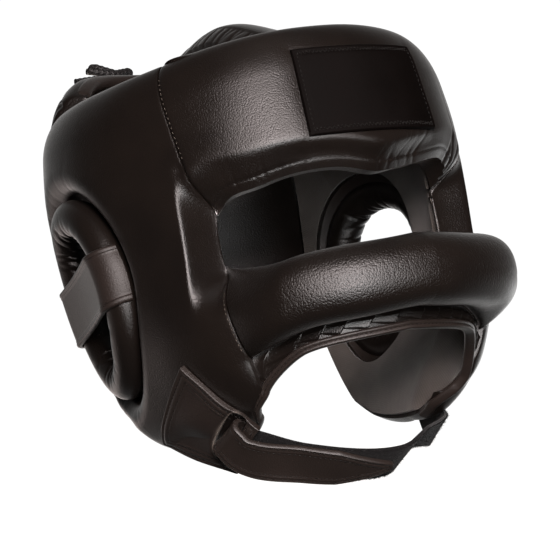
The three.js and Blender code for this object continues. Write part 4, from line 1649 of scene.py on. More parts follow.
@dataclass
class FaceBar:
    """Padded bar across the face, with the gathered facing under it and the bound mouth edge."""

    wide: float = 77.0
    root: float = -76.0
    reach: float = 66.0
    end: float = 76.0  # degrees round from the middle to an end
    square: float = 2.4
    flat_under: float = 0.92  # height of the lower half as a share of the upper
    blend: float = 0.66  # share of the half length where the bar turns to its seam
    half_length: float = 122.0
    bar_round: float = 20.0  # length of a radian round the bar
    stations: int = 320
    sides: int = 96
    facing_wall: float = 2.4
    facing_tuck: float = 12.0
    facing_under: float = 16.8
    facing_drop: float = 7.0
    facing_sunk: float = 0.8
    facing_top: float = -0.12  # how far it runs on up behind the bar
    facing_row: float = 4.9
    facing_bare: int = 14  # columns at its ends without stitches
    fold_wide: float = 17.0
    fold_narrow: float = 6.5
    fold_lift: float = 1.9
    fold_fuller: float = 0.7  # how much more the folds lift on the wearer's left
    fold_slant: float = 8.0
    fold_reach: float = 140.0  # from the middle to the last fold
    fold_change: tuple = (-10, 95)  # where wide folds turn to narrow ones
    fold_lap: tuple = (0.94, 1.0)  # part of a fold where it drops to the next
    fold_least: float = 0.25  # rise that is left between folds
    fold_hem: float = 0.6  # share of the way down where a fold starts to hang free
    fold_point: float = 0.24
    binding_wide: float = 6.0
    binding_thick: float = 3.4
    binding_round: float = 0.7
    binding_swell: float = 0.7
    binding_groove: float = 0.9
    binding_tuck: float = 1.6  # how far it is set into the cheeks
    binding_ease: float = 1.2  # how much lower it hangs at the cheeks
    binding_stations: int = 420

    SECTIONS = (
        BarSection(0, -62, 40, 38),
        BarSection(0.55, -66, 36, 38),
        BarSection(0.88, -72, 26, 39),
        BarSection(1, -68.5, 20, 43),
    )
    GATHERS = (
        Puckers(26, 40, 7.0, 2.2, 1.5, 12, lean=0.3, seed=51),
        Puckers(0, 126, 12.0, 0.5, 1.6, 7, lean=0.5, seed=52),
    )
    SLACK = Undulation(0.2, 50, seed=53)
    FACING_GRID = 601, 37

    def line(self, share: Array) -> tuple[Array, Array, Array, Array]:
        """Course and section of the bar.

        Args:
            share: Share of the half length from the middle.

        Returns:
            The centres, the outward directions, the depths and the heights.
        """
        angle = np.radians(share * self.end)
        along, *columns = np.array(self.SECTIONS, float).T
        z, depth, height = (hermite(along, column, np.abs(share)) for column in columns)
        sine, cosine = np.sin(angle), np.cos(angle)
        centre = np.stack([self.wide * sine, self.root - self.reach * cosine, z], axis=-1)
        out = unit(np.stack([sine / self.wide, -cosine / self.reach, np.zeros_like(z)], axis=-1))
        return centre, out, depth, height

    def seam_share(self, share: Array) -> Array:
        """Share that the cheek seam has in the bar."""
        return smoothstep(np.abs(share), self.blend, 1.0)

    def build(self) -> None:
        """Make the bar, its facing and its binding."""
        self.bar()
        self.facing()
        self.binding()

    def bar(self) -> None:
        """Make the padded bar with the tucks at its ends."""
        share = np.linspace(-1, 1, self.stations + 1)
        centre, out, depth, height = self.line(share)
        angle = circle(self.sides)
        x, y = (squared(v, 2 / self.square) for v in (np.cos(angle), np.sin(angle)))
        along = (share * self.half_length)[:, None]
        from_end = self.half_length - np.abs(along)
        over = (angle * self.bar_round)[None, :]
        fall = FLUSH_DIP * np.exp(-from_end / SEAM_REACH) - self.SLACK.rise(along, over)
        fall = fall + sum(gathers.fall(over, from_end) for gathers in self.GATHERS)
        tall = np.where(y < 0, self.flat_under * y, y) * height[:, None] / 2
        free = centre[:, None] + (x * depth[:, None] / 2)[..., None] * out[:, None] + upright(tall)
        sign = np.sign(share)[:, None]
        seam = FORM.beside("bar below", (y[None, :] + 1) / 2, (x[None, :] + 1) / 2, sign, 2 * GAP)
        loops = mix(free, seam, self.seam_share(share)[:, None, None])
        loops = loops - fall[..., None] * unit(loops - loops.mean(axis=1, keepdims=True))
        hand_over(loft("face_bar_leather", loops, BAR_LEATHER), ("face_bar",))

    def facing_point(self, share: Array, down: Number, out: Number) -> Array:
        """Points on the facing, from the bar down to the mouth edge.

        Args:
            share: Share of the half length from the middle.
            down: Share of the way down.
            out: Distance out of its middle.

        Returns:
            The points.
        """
        centre, outward, _, height = self.line(share)
        out = np.asarray(out, float)[..., None]
        drop = self.facing_under * height / self.SECTIONS[0].height + down * self.facing_drop
        free = centre + outward * (out - self.facing_tuck) - upright(drop)
        seam = FORM.beside("mouth above", 1 - down, 0.5, np.sign(share), -1.0)
        return mix(free, seam + outward * out, self.seam_share(share)[..., None])

    def folds(self, along: Array, down: Array) -> Array:
        """Rise of the shingled folds, wide on the wearer's right and narrow on the left.

        Args:
            along: Place along the facing.
            down: Share of the way down.

        Returns:
            The rise of each place as a share of a fold's lift.
        """
        draw = np.random.default_rng(61)
        knots = [-self.fold_reach]
        while knots[-1] < self.fold_reach:
            pitch = mix(self.fold_wide, self.fold_narrow, smoothstep(knots[-1], *self.fold_change))
            knots.append(knots[-1] + float(pitch) * draw.uniform(0.8, 1.2))
        knots = np.array(knots)
        slant = along - self.fold_slant * (1 - down) ** 1.3
        number = np.clip(np.searchsorted(knots, slant) - 1, 0, len(knots) - 2)
        part = np.clip((slant - knots[number]) / (knots[number + 1] - knots[number]), 0, 1)
        shingle = part**1.4 * (1 - smoothstep(part, *self.fold_lap))
        hem = self.fold_hem + self.fold_point * part**0.8 * (1 - smoothstep(part, 0.9, 1.0))
        hang = smoothstep(down, 0.02, 0.4) * (1 - smoothstep(down - hem, -0.05, 0.03))
        return mix(self.fold_least, 1, shingle) * hang

    def facing(self) -> None:
        """Make the gathered strip of shingled folds under the bar."""
        columns, rows = self.FACING_GRID
        share, down = np.meshgrid(
            np.linspace(-1, 1, columns), np.linspace(self.facing_top, 1.0, rows), indexing="ij")
        fuller = 1 + self.fold_fuller * smoothstep(share, 0.1, 0.7)
        lift = self.fold_lift * fuller * self.folds(share * self.half_length, down)
        drop = upright(self.binding_drop(share) * smoothstep(down, 0.6, 1.0))
        half = self.facing_wall / 2
        outer = self.facing_point(share, down, half - self.facing_sunk + lift) - drop
        inner = self.facing_point(share, down, -half) - drop
        strip = slab("bar_facing_leather", outer, inner[:, ::4], PAD_LEATHER)
        hand_over(strip, ("bar_facing",))
        run = Face(outer).run(np.arange(self.facing_bare, columns - self.facing_bare), self.facing_row)
        FINE_SEAM.sew("facing_stitches", [run], DARK_THREAD)

    def binding_drop(self, share: Array) -> Array:
        """How far the binding's middle hangs under the facing."""
        return (self.binding_thick / 2 + GAP) * (1 + self.binding_ease * self.seam_share(share))

    def binding_course(self) -> Pair:
        """Course of the binding along both cheeks and under the bar.

        Returns:
            The centres and the directions of its width.
        """
        aside = self.binding_thick / 2 + GAP - self.binding_tuck
        share = np.linspace(-0.95, 0.95, 240)
        sign, mouth = np.sign(share), "mouth above"
        wall = unit(FORM.beside(mouth, 0, 1, sign, 0) - FORM.beside(mouth, 0, 0, sign, 0))
        under = self.facing_point(share, 1.0, 0.0) - upright(self.binding_drop(share))
        parts = [(under, mix(self.line(share)[1], wall, self.seam_share(share)[:, None]))]
        stretches = (("jaw", np.linspace(0.3, 0.8, 18)), ("mouth below", np.linspace(0.1, 0.62, 24)))
        for side in Side:
            low, high = (
                np.concatenate([FORM.beside(name, rise, out, side.value, aside) for name, rise in stretches])
                for out in (0, 1))
            cheek = (low + high) / 2, unit(high - low)
            if side is Side.RIGHT:
                parts.insert(0, cheek)
            else:
                parts.append((cheek[0][::-1], cheek[1][::-1]))
        centre, wideway = (np.concatenate(rows) for rows in zip(*parts))
        return centre, wideway

    def binding(self) -> None:
        """Make the bound edge of the mouth opening, two ridges with the stitches between them."""
        centre, wideway = self.binding_course()
        smooth = SmoothLine(centre[::6])
        gone = np.linspace(0, smooth.length, self.binding_stations)
        chord = lengths(centre)
        wideway = between(gone / smooth.length * chord[-1], chord, wideway)
        along = smooth.along(gone)
        wideway = square_to(wideway, along)
        thickway = np.cross(along, wideway)
        angle = circle(28)
        half_wide, half_thick = self.binding_wide / 2, self.binding_thick / 2 + self.binding_swell
        x = half_wide * squared(np.cos(angle), self.binding_round)
        y = half_thick * squared(np.sin(angle), self.binding_round)
        x = x - self.binding_groove * bell(y, 0.75) * np.sign(x)
        middle = smooth.at(gone)
        points = middle[:, None] + x[:, None] * wideway[:, None] + y[:, None] * thickway[:, None]
        hand_over(loft("mouth_binding_leather", points, STRAP_LEATHER), ("mouth_binding",))
        front = middle + wideway * (half_wide - 0.75)
        FINE_SEAM.sew("binding_stitches", [(front, wideway)], DARK_THREAD)


# Back and crown


@dataclass
class BackPad:
    """Padded back, bound and pleated along its top edge."""

    seam: float = 128.0
    rim_seam: float = 62.0
    rim_middle: float = 77.0
    low_seam: float = -72.0
    low_middle: float = -84.0
    depth: float = 20.0
    edge: float = 6.0
    band: float = 7.0  # height of the plain band under the rim
    band_dip: float = 1.3
    band_dip_width: float = 1.1
    pleats_from: tuple = (-1, 1.5)  # under the band, where the pleats grow
    folds_from: tuple = (4, 9)  # under the rim, where the folds inside grow
    band_sewn: float = 1.6
    seam_dip: float = 2.4
    seam_reach: float = 1.5
    half_width: float = 100.0
    bound_past: float = 1.3  # how far the binding stands out past the edge
    bound_middle: float = 2.6
    bound_half: float = 3.4
    bound_round: float = 0.75
    tuck_from: float = 0.94  # share of the half width where the binding is tucked in
    tuck_thin: float = 0.25
    tuck_drop: float = 1.2
    columns: int = 220
    rows: int = 130
    inner_rows: int = 48

    PLEATS = Puckers(-95, 95, 6.5, 1.7, 1.5, 13, lean=0.3, seed=71)
    FOLDS = Puckers(-95, 95, 7.0, 1.4, 1.5, 11, lean=0.3, seed=73)
    SLACK = Undulation(0.4, 48, seed=72)

    def build(self) -> None:
        """Make the pad and the stitches of its band."""
        share = np.linspace(-1, 1, self.columns + 1)[:, None]
        turn = 180 + share * (180 - self.seam - 2 * SEAM_SLIT)
        low = mix(self.low_middle, self.low_seam, share**2)
        rim = mix(self.rim_middle, self.rim_seam, share**4)
        along = share * self.half_width
        up = crowded(self.rows)
        z = mix(low, rim, up)
        rise = rolled(rim - z, ROLL) * rolled(z - low, ROLL)
        under = rim - z - self.band
        fall = self.seam_dip * np.exp(-(1 - np.abs(share)) * self.half_width / self.seam_reach)
        fall = fall + self.band_dip * bell(under, self.band_dip_width)
        fall = fall + self.PLEATS.fall(along, np.maximum(under, 0)) * smoothstep(under, *self.pleats_from)
        fall = fall - self.SLACK.rise(along, z)
        outer = SHELL.point(turn, z, mix(self.edge, self.depth, rise) - fall)
        low_z = mix(low, rim, crowded(self.inner_rows))
        folds = self.FOLDS.fall(along, np.maximum(rim - low_z - self.band, 0))
        inner = SHELL.point(turn, low_z, folds * smoothstep(rim - low_z, *self.folds_from))
        hand_over(slab("back_leather", outer, inner, PAD_LEATHER), ("back_pad",))
        columns = np.arange(3, self.columns - 2)
        sewn_up = 1 - (self.band - self.band_sewn) / (rim - low)[columns, 0]
        rows = np.interp(sewn_up, up, np.arange(len(up)))
        FINE_SEAM.sew("back_band_stitches", [Face(outer).run(columns, rows)], DARK_THREAD)
        self.bind(share, turn, rim)

    def bind(self, share: Array, turn: Array, rim: Array) -> None:
        """Bind the top edge with a folded strip.

        Args:
            share: Share of the half width at each column.
            turn: Turn of each column.
            rim: Height of the rim at each column.
        """
        angle = circle(24)
        x, y = (squared(v, self.bound_round)[None, :] for v in (np.cos(angle), np.sin(angle)))
        tuck = smoothstep(np.abs(share), self.tuck_from, 1.0)
        depth = self.edge / 2 + (self.edge / 2 + self.bound_past) * x * (1 - self.tuck_thin * tuck)
        z = rim - self.bound_middle + self.bound_half * y - self.tuck_drop * tuck
        band = SHELL.point(turn, z, depth)
        hand_over(loft("back_binding_leather", band, STRAP_LEATHER))


@dataclass
class CrownStrap:
    """Padded strap over the crown, with a plain band along its middle and pleats beside it."""

    wide: float = 36.0
    band: float = 0.42  # share of the half width
    band_rise: float = 0.8
    band_sewn: float = 0.1
    thick: float = 9.0
    edge: float = 4.0
    bow: float = 6.3
    stations: int = 260
    rows: int = 60

    LINE = (
        (0, -85.5, 40), (0, -77.5, 59), (0, -37, 73), (0, 0, 83.5),
        (0, 22, 83), (0, 48, 77), (0, 84, 68), (0, 103.8, 50),
    )

    def build(self) -> None:
        """Make the strap and its stitches."""
        line = SmoothLine(np.array(self.LINE, float))
        gone = np.linspace(0, line.length, self.stations)
        sideways = np.array([1.0, 0, 0])
        up = np.cross(sideways, line.along(gone))[:, None]
        share = np.linspace(-1, 1, self.rows + 1)
        swell = mix(self.thick, self.edge, np.abs(share) ** 3) / 2
        from_band = (np.abs(share) - self.band) * self.wide / 2
        bound = self.band_rise * (1 - smoothstep(from_band, -0.6, 0.4))
        pleats = Puckers(0, line.length, 5.5, 1.9, 1.2, 14, lean=0.3, seed=81)
        fall = pleats.fall(gone[:, None], np.maximum(from_band, 0)) * smoothstep(from_band, 0, 2.0)
        base = line.at(gone)[:, None] + (share * self.wide / 2)[:, None] * sideways
        bowed = -self.bow * share**2
        top = base + (swell + bound + bowed - fall)[..., None] * up
        under = base + (bowed - swell + 0.5 * fall)[..., None] * up
        hand_over(slab("crown_leather", top, under, PAD_LEATHER), ("crown_strap",))
        face = Face(top)
        inset = self.rows / 2 * (1 - self.band + self.band_sewn)
        runs = [face.run(np.arange(2, self.stations - 2), row) for row in (inset, self.rows - inset)]
        FINE_SEAM.sew("crown_stitches", runs, DARK_THREAD)


@dataclass
class Lace:
    """Lace tied in a small bow over the top edge of the back pad."""

    radius: float = 2.0
    strand: float = 3.2
    swell: float = 0.06
    tip_length: float = 9.0
    sides: int = 16

    LINE = (
        (-44, 112, 77.8), (-34, 112.5, 78.8), (-22, 113, 79.6), (-14, 114.5, 81),
        (-22, 116, 84.6), (-29, 117, 86.8), (-31.5, 115.5, 84.8), (-26, 114, 83),
        (-18, 113.5, 82), (-10, 116, 83), (-5, 118, 83.4), (-4, 119.5, 81.4),
        (-9, 118.5, 80.8), (-15, 118, 82.4), (-23, 119, 83.6), (-32, 119.8, 84.8),
    )

    def tube(self, name: str, line: SmoothLine, gone: Array, radius: Array, finish: Finish) -> Piece:
        """Tube of changing radius along a stretch of a line.

        Args:
            name: Name of the piece.
            line: Line that it follows.
            gone: Lengths along the line.
            radius: Radius at each length.
            finish: What it is made of.

        Returns:
            The object.
        """
        along = line.along(gone)
        first = square_to(np.array([0, 1.0, 0]), along)
        second = np.cross(along, first)
        angle = circle(self.sides)[:, None]
        ring = np.cos(angle) * first[:, None] + np.sin(angle) * second[:, None]
        return loft(name, line.at(gone)[:, None] + radius[:, None, None] * ring, finish)

    def build(self) -> None:
        """Make the lace and the tip on its end."""
        line = SmoothLine(np.array(self.LINE, float))
        gone = np.linspace(0, line.length, 300)
        radius = self.radius * (1 - self.swell + self.swell * np.cos(gone * 2 * np.pi / self.strand))
        hand_over(self.tube("lace_cord", line, gone, radius, LACE_CORD), ("crown_lace",))
        end = np.linspace(line.length - self.tip_length, line.length, 30)
        radius = self.radius * np.linspace(1.12, 0.95, 30)
        hand_over(self.tube("lace_tip", line, end, radius, LACE_TIP))


# Chin tab and strap


@dataclass
class ChinTab:
    """Leather tab on the right cheek, hemmed all round, with the slot for the strap."""

    wall: float = 3.0
    lie: float = 1.2
    sewn_depth: float = 20.0
    front_depth: float = 18.5
    slot_back: float = 6.5
    slot_half: float = 5.0
    slot_length: float = 15.5
    slot_round: float = 5.0
    lip_dip: float = 0.5
    lip_inset: float = 1.2
    slot_fall: float = 0.9
    slot_roll: float = 0.8
    edge_roll: float = 0.6  # fall and width of its outer edge
    # reach of the pale band round the slot's rear lip, worn cut edge with a painted highlight on it
    worn: float = 0.5  # how far the pale cut edge shows round the slot
    slack_under: float = 0.4  # share of the slack that its underside follows
    hem: Hem = Hem(5.7, 6.6, rise=0.4, groove=0.45, rows=(2.0, 5.0))
    pitch: float = 0.9
    rows: int = 44

    CORNERS = (
        Corner("sewn above", 59, -87),
        Corner("sewn below", 82, -124),
        Corner("front below", 56.5, -142),
        Corner("front above", 45, -122),
    )
    SLACK = Undulation(0.5, 26, seed=91)

    def __post_init__(self) -> None:
        """Work out the edges and the slot."""
        self.edges = outline_edges(self.CORNERS)
        top, low, self.front_low, self.front_top = (flat_place(c.turn, c.z) for c in self.CORNERS)
        self.front = (self.front_low + self.front_top) / 2
        self.across = unit(self.front_top - self.front_low)
        self.along = np.array([-self.across[1], self.across[0]])
        self.length = float(((top + low) / 2 - self.front) @ self.along)
        self.slot = self.front + math.copysign(self.slot_back + self.slot_half, self.length) * self.along

    def depth(self, places: Array) -> Array:
        """Depth under the tab, over the cheek and pulled straight past its edge."""
        back = np.clip((places - self.front) @ self.along / self.length, 0, 1)
        return np.maximum(FORM.cheek(places), mix(self.front_depth, self.sewn_depth, back)) + self.lie

    def middle(self, places: Array) -> Array:
        """Points in the middle of the tab's wall, drawn on the left."""
        return raised(places, self.depth(places) + self.wall / 2)

    def build(self) -> None:
        """Make the tab, its stitches and its slot, pale round its rear lip with wear and a painted highlight.
        """
        arm = np.concatenate([edge.fine(self.pitch) for edge in self.edges]) - self.slot
        along = np.abs(arm @ self.along) / self.slot_half
        across = np.abs(arm @ self.across) / self.slot_length
        start = (along**self.slot_round + across**self.slot_round) ** (-1 / self.slot_round)
        way = mix(start[:, None], 1.0, crowded(self.rows)[None, :])
        places = self.slot + arm[:, None] * way[..., None]
        from_edges = [run_distance(places, edge.points) for edge in self.edges]
        from_edge = np.min(from_edges, axis=0)
        from_slot = np.linalg.norm(places - places[:, :1], axis=-1)
        lip = self.lip_dip * bell(from_slot - self.lip_inset, 1.0)
        lip = lip + edge_fall(from_slot, self.slot_fall, self.slot_roll)
        lip = lip + edge_fall(from_edge, self.edge_roll, self.edge_roll)
        slack = self.SLACK.rise(places[..., 0], places[..., 1])
        base = self.depth(places)
        outer = raised(places, base + self.wall + self.hem.lift(from_edge) - lip + slack)
        inner = raised(places, base + self.slack_under * slack)
        faces = [mirrored(face, Side.RIGHT) for face in (outer, inner)]
        tab = slab("chin_tab_leather", *faces, STRAP_LEATHER, comes_round=True)
        # Pale band on the slot's rear lip, the side that faces the light: worn cut edge with a painted
        # highlight
        rear = (places - self.slot) @ self.along * np.sign(self.length) / self.slot_half
        worn = np.exp(-from_slot / self.worn) * np.clip(rear, 0, 1)
        layer = tab.data.attributes.new("cut_edge_and_highlight", "FLOAT", "POINT")
        layer.data.foreach_set("value", np.concatenate([worn, 0 * worn], axis=1).astype(np.float32).ravel())
        hand_over(tab, ("chin_tab",))
        face = Face(faces[0]).facing(faces[0].mean(axis=(0, 1)) * np.array([1, 1, 0]))
        runs = [face.run(*self.level(distance, row)) for distance in from_edges for row in self.hem.rows]
        FINE_SEAM.sew("tab_stitches", runs, DARK_THREAD)

    @staticmethod
    def level(distance: Array, inset: float) -> Pair:
        """Grid places where a distance from an edge is met, column by column.

        Args:
            distance: Distance from the edge at each point of the grid.
            inset: Distance that is looked for.

        Returns:
            The columns along that edge, and the place of the distance in each.
        """
        columns, rows = [], []
        for column, line in enumerate(distance):
            if line[-1] < 0.05 and line.max() > inset:
                row = len(line) - 1 - int(np.argmax(line[::-1] >= inset))
                columns.append(column)
                rows.append(row + (line[row] - inset) / max(line[row] - line[row + 1], TINY))
        return np.array(columns[2:-2], float), np.array(rows[2:-2], float)


class SewnPlace(NamedTuple):
    """Place of the strap on the cheek that it is sewn to, and how far it stands over it."""

    turn: float
    z: float
    over: float


class Stations(NamedTuple):
    """Centres of a band with its width and face directions."""

    centre: Array
    across: Array
    face: Array


@dataclass
class ChinStrap:
    """Hook and loop band under the chin, folded back through the slot in a pointed leather end."""

    tab: ChinTab
    wide: float = 22.5
    narrow: float = 18.0  # past the leather end
    thick: float = 2.2
    lie: float = 1.6
    tail: float = 84.0
    point: float = 28.0
    tip: float = 4.0
    close: float = 1.3  # half the distance between the layers, near the tail's tip
    open: float = 4.4  # the same at the fold
    near: float = 14.0
    far: float = 40.0
    slot_lead: float = 3.2
    hem: Hem = Hem(4.6, 5.4, rise=0.35, groove=0.4, rows=(1.9, 4.4))
    rows: int = 32
    fold_stations: int = 26
    fold_bare: int = 22
    fibres: int = 3800
    fibre_half: float = 0.09
    fibre_long: tuple = (0.5, 1.5)
    on_edges: float = 0.7  # share of the fibres along the edges
    narrowing: tuple = (0.42, 0.6)  # shares of the length where the band narrows

    UNDER = ((30, -95, -154), (0, -103, -156), (-23, -90, -148))
    SEWN = (SewnPlace(-60, -138, 6), SewnPlace(-71, -131, 4), SewnPlace(-83, -119, 1))
    CHIN_FACE = np.array([0, -0.6, -0.8])
    CHIN_TURN = (0.1, 0.45, 0.9)

    def __post_init__(self) -> None:
        """Work out the centre line and the way the band looks."""
        tab = self.tab
        lead = mix(tab.slot, tab.front, self.slot_lead / (tab.slot_back + tab.slot_half))
        slot, front = tab.middle(lead), tab.middle(tab.front)
        rise = self.lie + self.thick / 2 + self.close
        sewn = []
        for turn, z, over in self.SEWN:
            under = float(FORM.cheek(flat_place(-turn, z)[None])[0])
            sewn.append(SHELL.point(turn, z, under + rise + over))
        self.line = SmoothLine(np.array([slot, front, *np.array(self.UNDER, float), *sewn]))
        first = unit(np.cross(tab.middle(tab.front_top) - tab.middle(tab.front_low), front - slot))
        looks = SHELL.outward(tab.slot[0] / DEGREE, tab.slot[1])
        self.first = first * math.copysign(1, first @ looks)
        self.last = SHELL.outward(self.SEWN[-1].turn, self.SEWN[-1].z)
        self.share = np.linspace(-0.5, 0.5, self.rows + 1)

    def face_at(self, gone: Array) -> Array:
        """Way the band looks.

        Args:
            gone: Lengths along the line.

        Returns:
            One direction for each length.
        """
        t = (gone / self.line.length)[:, None]
        start, chin, end = self.CHIN_TURN
        face = mix(self.first, unit(self.CHIN_FACE), smoothstep(t, start, chin))
        return square_to(mix(face, self.last, smoothstep(t, chin, end)), self.line.along(gone))

    def lay(self, gone: Array) -> Array:
        """Half the distance between the two layers."""
        return mix(self.open, self.close, smoothstep(gone, self.near, self.far))

    def stations(self, gone: Array, offset: Array, back: Number = 0.0) -> Stations:
        """Stations of the band.

        Args:
            gone: Lengths along the line.
            offset: Distance out of the line along the face.
            back: Distance back along the line, at the fold.

        Returns:
            The stations.
        """
        along, face = self.line.along(gone), self.face_at(gone)
        centre = self.line.at(gone) + face * offset[:, None] - along * np.asarray(back)[..., None]
        return Stations(centre, unit(np.cross(along, face)), face)

    def band(self, name: str, at: Stations, wide: Array, thick: Array, finish: Finish) -> tuple[Piece, Array]:
        """Band along stations.

        Args:
            name: Name of the piece.
            at: Stations that it runs through.
            wide: Width at each station.
            thick: Thickness over each share of the width.
            finish: What it is made of.

        Returns:
            The object and the points of its outer face, on the right.
        """
        spread = at.centre[:, None] + at.across[:, None] * (wide[:, None] * self.share)[..., None]
        outer = mirrored(spread + at.face[:, None] * (thick / 2)[..., None], Side.RIGHT)
        inner = mirrored(spread - at.face[:, None] * (self.thick / 2), Side.RIGHT)
        return slab(name, outer, inner, finish), outer

    def build(self) -> None:
        """Make the band, its fuzz and its folded leather end."""
        length = self.line.length
        gone = np.linspace(length, 0, 200)
        at = self.stations(gone, -self.lay(gone))
        from_edge = (0.5 - np.abs(self.share)) * self.wide
        thick = self.thick - edge_fall(from_edge, 0.7, 1.2)[None, :]
        wide = mix(self.wide, self.narrow, smoothstep(gone / length, *self.narrowing))
        band, outer = self.band("chin_band_pile", at, wide, thick, PILE)
        hand_over(band, ("chin_strap",))
        self.fuzz(outer, at.face)
        self.leather_end()

    def leather_end(self) -> None:
        """Fold the end back over the slot, pointed and stitched round."""
        turns = np.radians(np.linspace(-90, 90, self.fold_stations))
        still = np.zeros(self.fold_stations)
        fold = self.stations(still, self.open * np.sin(turns), self.open * np.cos(turns))
        swing = np.sin(turns)[:, None] * fold.face - np.cos(turns)[:, None] * self.line.along(still)
        gone = np.linspace(0, self.tail, 120)[1:]
        parts = fold._replace(face=unit(swing)), self.stations(gone, self.lay(gone))
        at = Stations(*(np.concatenate(rows) for rows in zip(*parts)))
        left = self.tail - np.concatenate([still, gone])
        wide = mix(self.tip, self.wide, np.clip(left / self.point, 0, 1) ** 0.75)
        from_edge = np.minimum((0.5 - np.abs(self.share)) * wide[:, None], left[:, None])
        thick = self.thick + 2 * self.hem.lift(from_edge) - edge_fall(from_edge, 1.4, 0.9)
        end, outer = self.band("chin_end_leather", at, wide, thick, STRAP_LEATHER)
        hand_over(end)
        grid = Face(outer).facing(mirrored(at.face, Side.RIGHT)[:, None])
        past_fold = np.arange(len(left)) > self.fold_bare
        runs = []
        for inset in self.hem.rows:
            kept = np.flatnonzero((left > inset) & (wide > 2 * inset + 1) & past_fold)
            rows = self.rows * inset / wide[kept]
            low, high = (grid.run(kept, places) for places in (rows, self.rows - rows))
            runs.append(tuple(np.concatenate([a, b[::-1]]) for a, b in zip(low, high)))
        FINE_SEAM.sew("chin_end_stitches", runs, DARK_THREAD)

    def fuzz(self, outer: Array, face: Array) -> None:
        """Stand short bent fibres along both edges of the band and thinly over its face.

        Args:
            outer: Points of the band's outer face.
            face: Way the band looks at each station, drawn on the left.
        """
        draw = np.random.default_rng(101)
        stations, sides = outer.shape[:2]
        count = self.fibres
        column = draw.integers(1, stations - 2, count)
        on_edge = draw.random(count) < self.on_edges
        edge_row = np.where(draw.random(count) < 0.5, 0, sides - 1)
        row = np.where(on_edge, edge_row, draw.integers(1, sides - 1, count))
        root = mix(outer[column, row], outer[column + 1, row], draw.random(count)[:, None])
        aside = unit(outer[column, -1] - outer[column, 0]) * np.where(row < sides / 2, -1, 1)[:, None]
        looks = mirrored(face[column], Side.RIGHT)
        lean = np.where(on_edge, 1.0, 0.15)[:, None]
        way = unit(aside * lean + looks * (1.15 - lean) + draw.normal(0, 0.45, (count, 3)))
        bend = unit(draw.normal(0, 1, (count, 3)))
        length = draw.uniform(*self.fibre_long, count)[:, None]
        half = unit(np.cross(way, bend)) * self.fibre_half
        strips = []
        for t in np.linspace(0, 1, 4):
            middle = root + way * length * t + bend * 0.5 * length * t * t
            strips.append(np.stack([middle - half * (1.1 - t), middle + half * (1.1 - t)], axis=1))
        points = np.stack(strips, axis=1)
        number = np.arange(points.size // 3).reshape(points.shape[:3])
        quads = np.stack([number[:, :-1, 0], number[:, 1:, 0], number[:, 1:, 1], number[:, :-1, 1]], axis=-1)
        faces = quads.reshape(-1, 4).tolist()
        fibres = add_object("chin_band_fuzz", points, faces, np.zeros((4 * len(faces), 2)), PILE)
        hand_over(fibres)


# Studio


class Softbox(NamedTuple):
    """Square soft light, in metres and watts, that looks at the guard or at a place of its own."""

    name: str
    place: tuple
    size: float
    power: float
    colour: str = "ffffff"
    aim: tuple | None = None


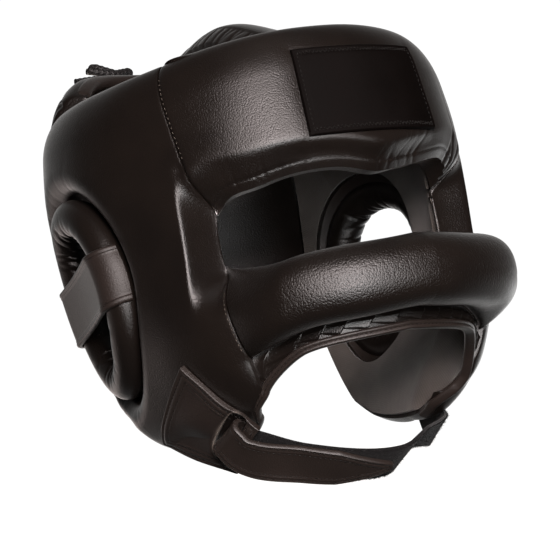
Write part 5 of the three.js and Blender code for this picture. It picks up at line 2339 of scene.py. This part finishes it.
@dataclass
class Studio:
    """Pale floor, soft light and the camera, in metres."""

    floor_drop: float = 0.295
    floor_half: float = 1.25
    target: tuple = (0.005, -0.005, -0.1335)
    right: tuple = (0.8480, -0.5142, -0.1282)
    up: tuple = (0.0920, -0.0954, 0.9912)
    back: tuple = (-0.5219, -0.8524, -0.0335)
    distance: float = 1.25
    lens: float = 147.05
    sensor: float = 36.0

    # Key near the camera, a weak light overhead, and the light off the table
    SOFTBOXES = (
        Softbox("key_softbox", (-0.68, -1.57, 0.35), 0.5, 37, "fff1ef"),
        Softbox("top_softbox", (-0.2, -0.7, 1.8), 0.8, 1.0),
        Softbox("front_bounce", (-0.35, -1.2, -0.28), 0.6, 11),
        Softbox("table_bounce", (0.75, 0.35, -0.29), 0.9, 2.2, aim=(0.75, 0.35, 1.0)),
        Softbox("rear_bounce", (-0.25, 0.62, -0.29), 0.8, 1.1, "ffe9e2", aim=(-0.25, 0.62, 1.0)),
    )

    def build(self) -> None:
        """Set the whole stage."""
        self.floor()
        self.world()
        for softbox in self.SOFTBOXES:
            self.hang(softbox)
        self.camera()

    def floor(self) -> None:
        """Lay a plain pale floor."""
        mesh = bpy.data.meshes.new("studio_floor")
        corners = [(-1, -1), (1, -1), (1, 1), (-1, 1)]
        points = [(x * self.floor_half, y * self.floor_half, -self.floor_drop) for x, y in corners]
        mesh.from_pydata(points, [], [(0, 1, 2, 3)])
        mesh.materials.append(FLOOR.material())
        floor = bpy.data.objects.new("studio_floor", mesh)
        floor.visible_glossy = False
        floor.visible_diffuse = False
        bpy.context.scene.collection.objects.link(floor)

    def world(self) -> None:
        """Surround the stage with a white backdrop that adds a little light."""
        world = bpy.data.worlds.new("studio_backdrop")
        world.use_nodes = True
        tree = world.node_tree
        tree.nodes.clear()
        seen = add_node(tree, "LightPath").outputs["Is Camera Ray"]
        way = add_node(tree, "TexCoord").outputs["Generated"]
        away = tuple(-part for part in self.back)
        behind = add_node(tree, "VectorMath", {0: way, 1: away}, operation="DOT_PRODUCT")
        glow = add_node(
            tree, "MapRange",
            {"Value": behind.outputs["Value"], "From Min": 0.35, "From Max": 0.95,
             "To Min": 0.02, "To Max": 0.4})
        soft = add_node(tree, "Background", {"Color": linear("fffdfb"), "Strength": glow})
        plain = add_node(tree, "Background", {"Color": (1, 1, 1, 1), "Strength": 1.05})
        both = add_node(tree, "MixShader", {0: seen, 1: soft, 2: plain})
        add_node(tree, "OutputWorld", {"Surface": both})
        bpy.context.scene.world = world
        bpy.context.scene.view_settings.view_transform = "Standard"

    def hang(self, softbox: Softbox) -> None:
        """Hang a soft light.

        Args:
            softbox: Its place, size, power and colour.
        """
        light = bpy.data.lights.new(softbox.name, "AREA")
        light.shape = "SQUARE"
        light.size = softbox.size
        light.energy = softbox.power
        light.color = linear(softbox.colour)[:3]
        lamp = bpy.data.objects.new(softbox.name, light)
        lamp.location = softbox.place
        lamp.rotation_mode = "QUATERNION"
        way = Vector(softbox.aim or self.target) - Vector(softbox.place)
        lamp.rotation_quaternion = way.to_track_quat("-Z", "Y")
        lamp.visible_camera = False
        bpy.context.scene.collection.objects.link(lamp)

    def camera(self) -> None:
        """Stand the camera where the photograph was taken from."""
        lens = bpy.data.cameras.new("studio_camera")
        lens.lens = self.lens
        lens.sensor_width = self.sensor
        camera = bpy.data.objects.new("studio_camera", lens)
        place = Vector(self.target) + self.distance * Vector(self.back)
        axes = Matrix((self.right, self.up, self.back)).transposed().to_4x4()
        camera.matrix_world = Matrix.Translation(place) @ axes
        bpy.context.scene.collection.objects.link(camera)
        bpy.context.scene.camera = camera


def main() -> None:
    """Build the guard piece by piece and set the stage."""
    logging.basicConfig(level=logging.INFO, format="%(name)s %(message)s")
    Studio().build()
    Forehead().build()
    for side in Side:
        SidePad(side).build()
        EarRing(side).build()
        EarStrap(side).build()
    FaceBar().build()
    BackPad().build()
    CrownStrap().build()
    Lace().build()
    tab = ChinTab()
    tab.build()
    ChinStrap(tab).build()


if __name__ == "__main__":
    main()
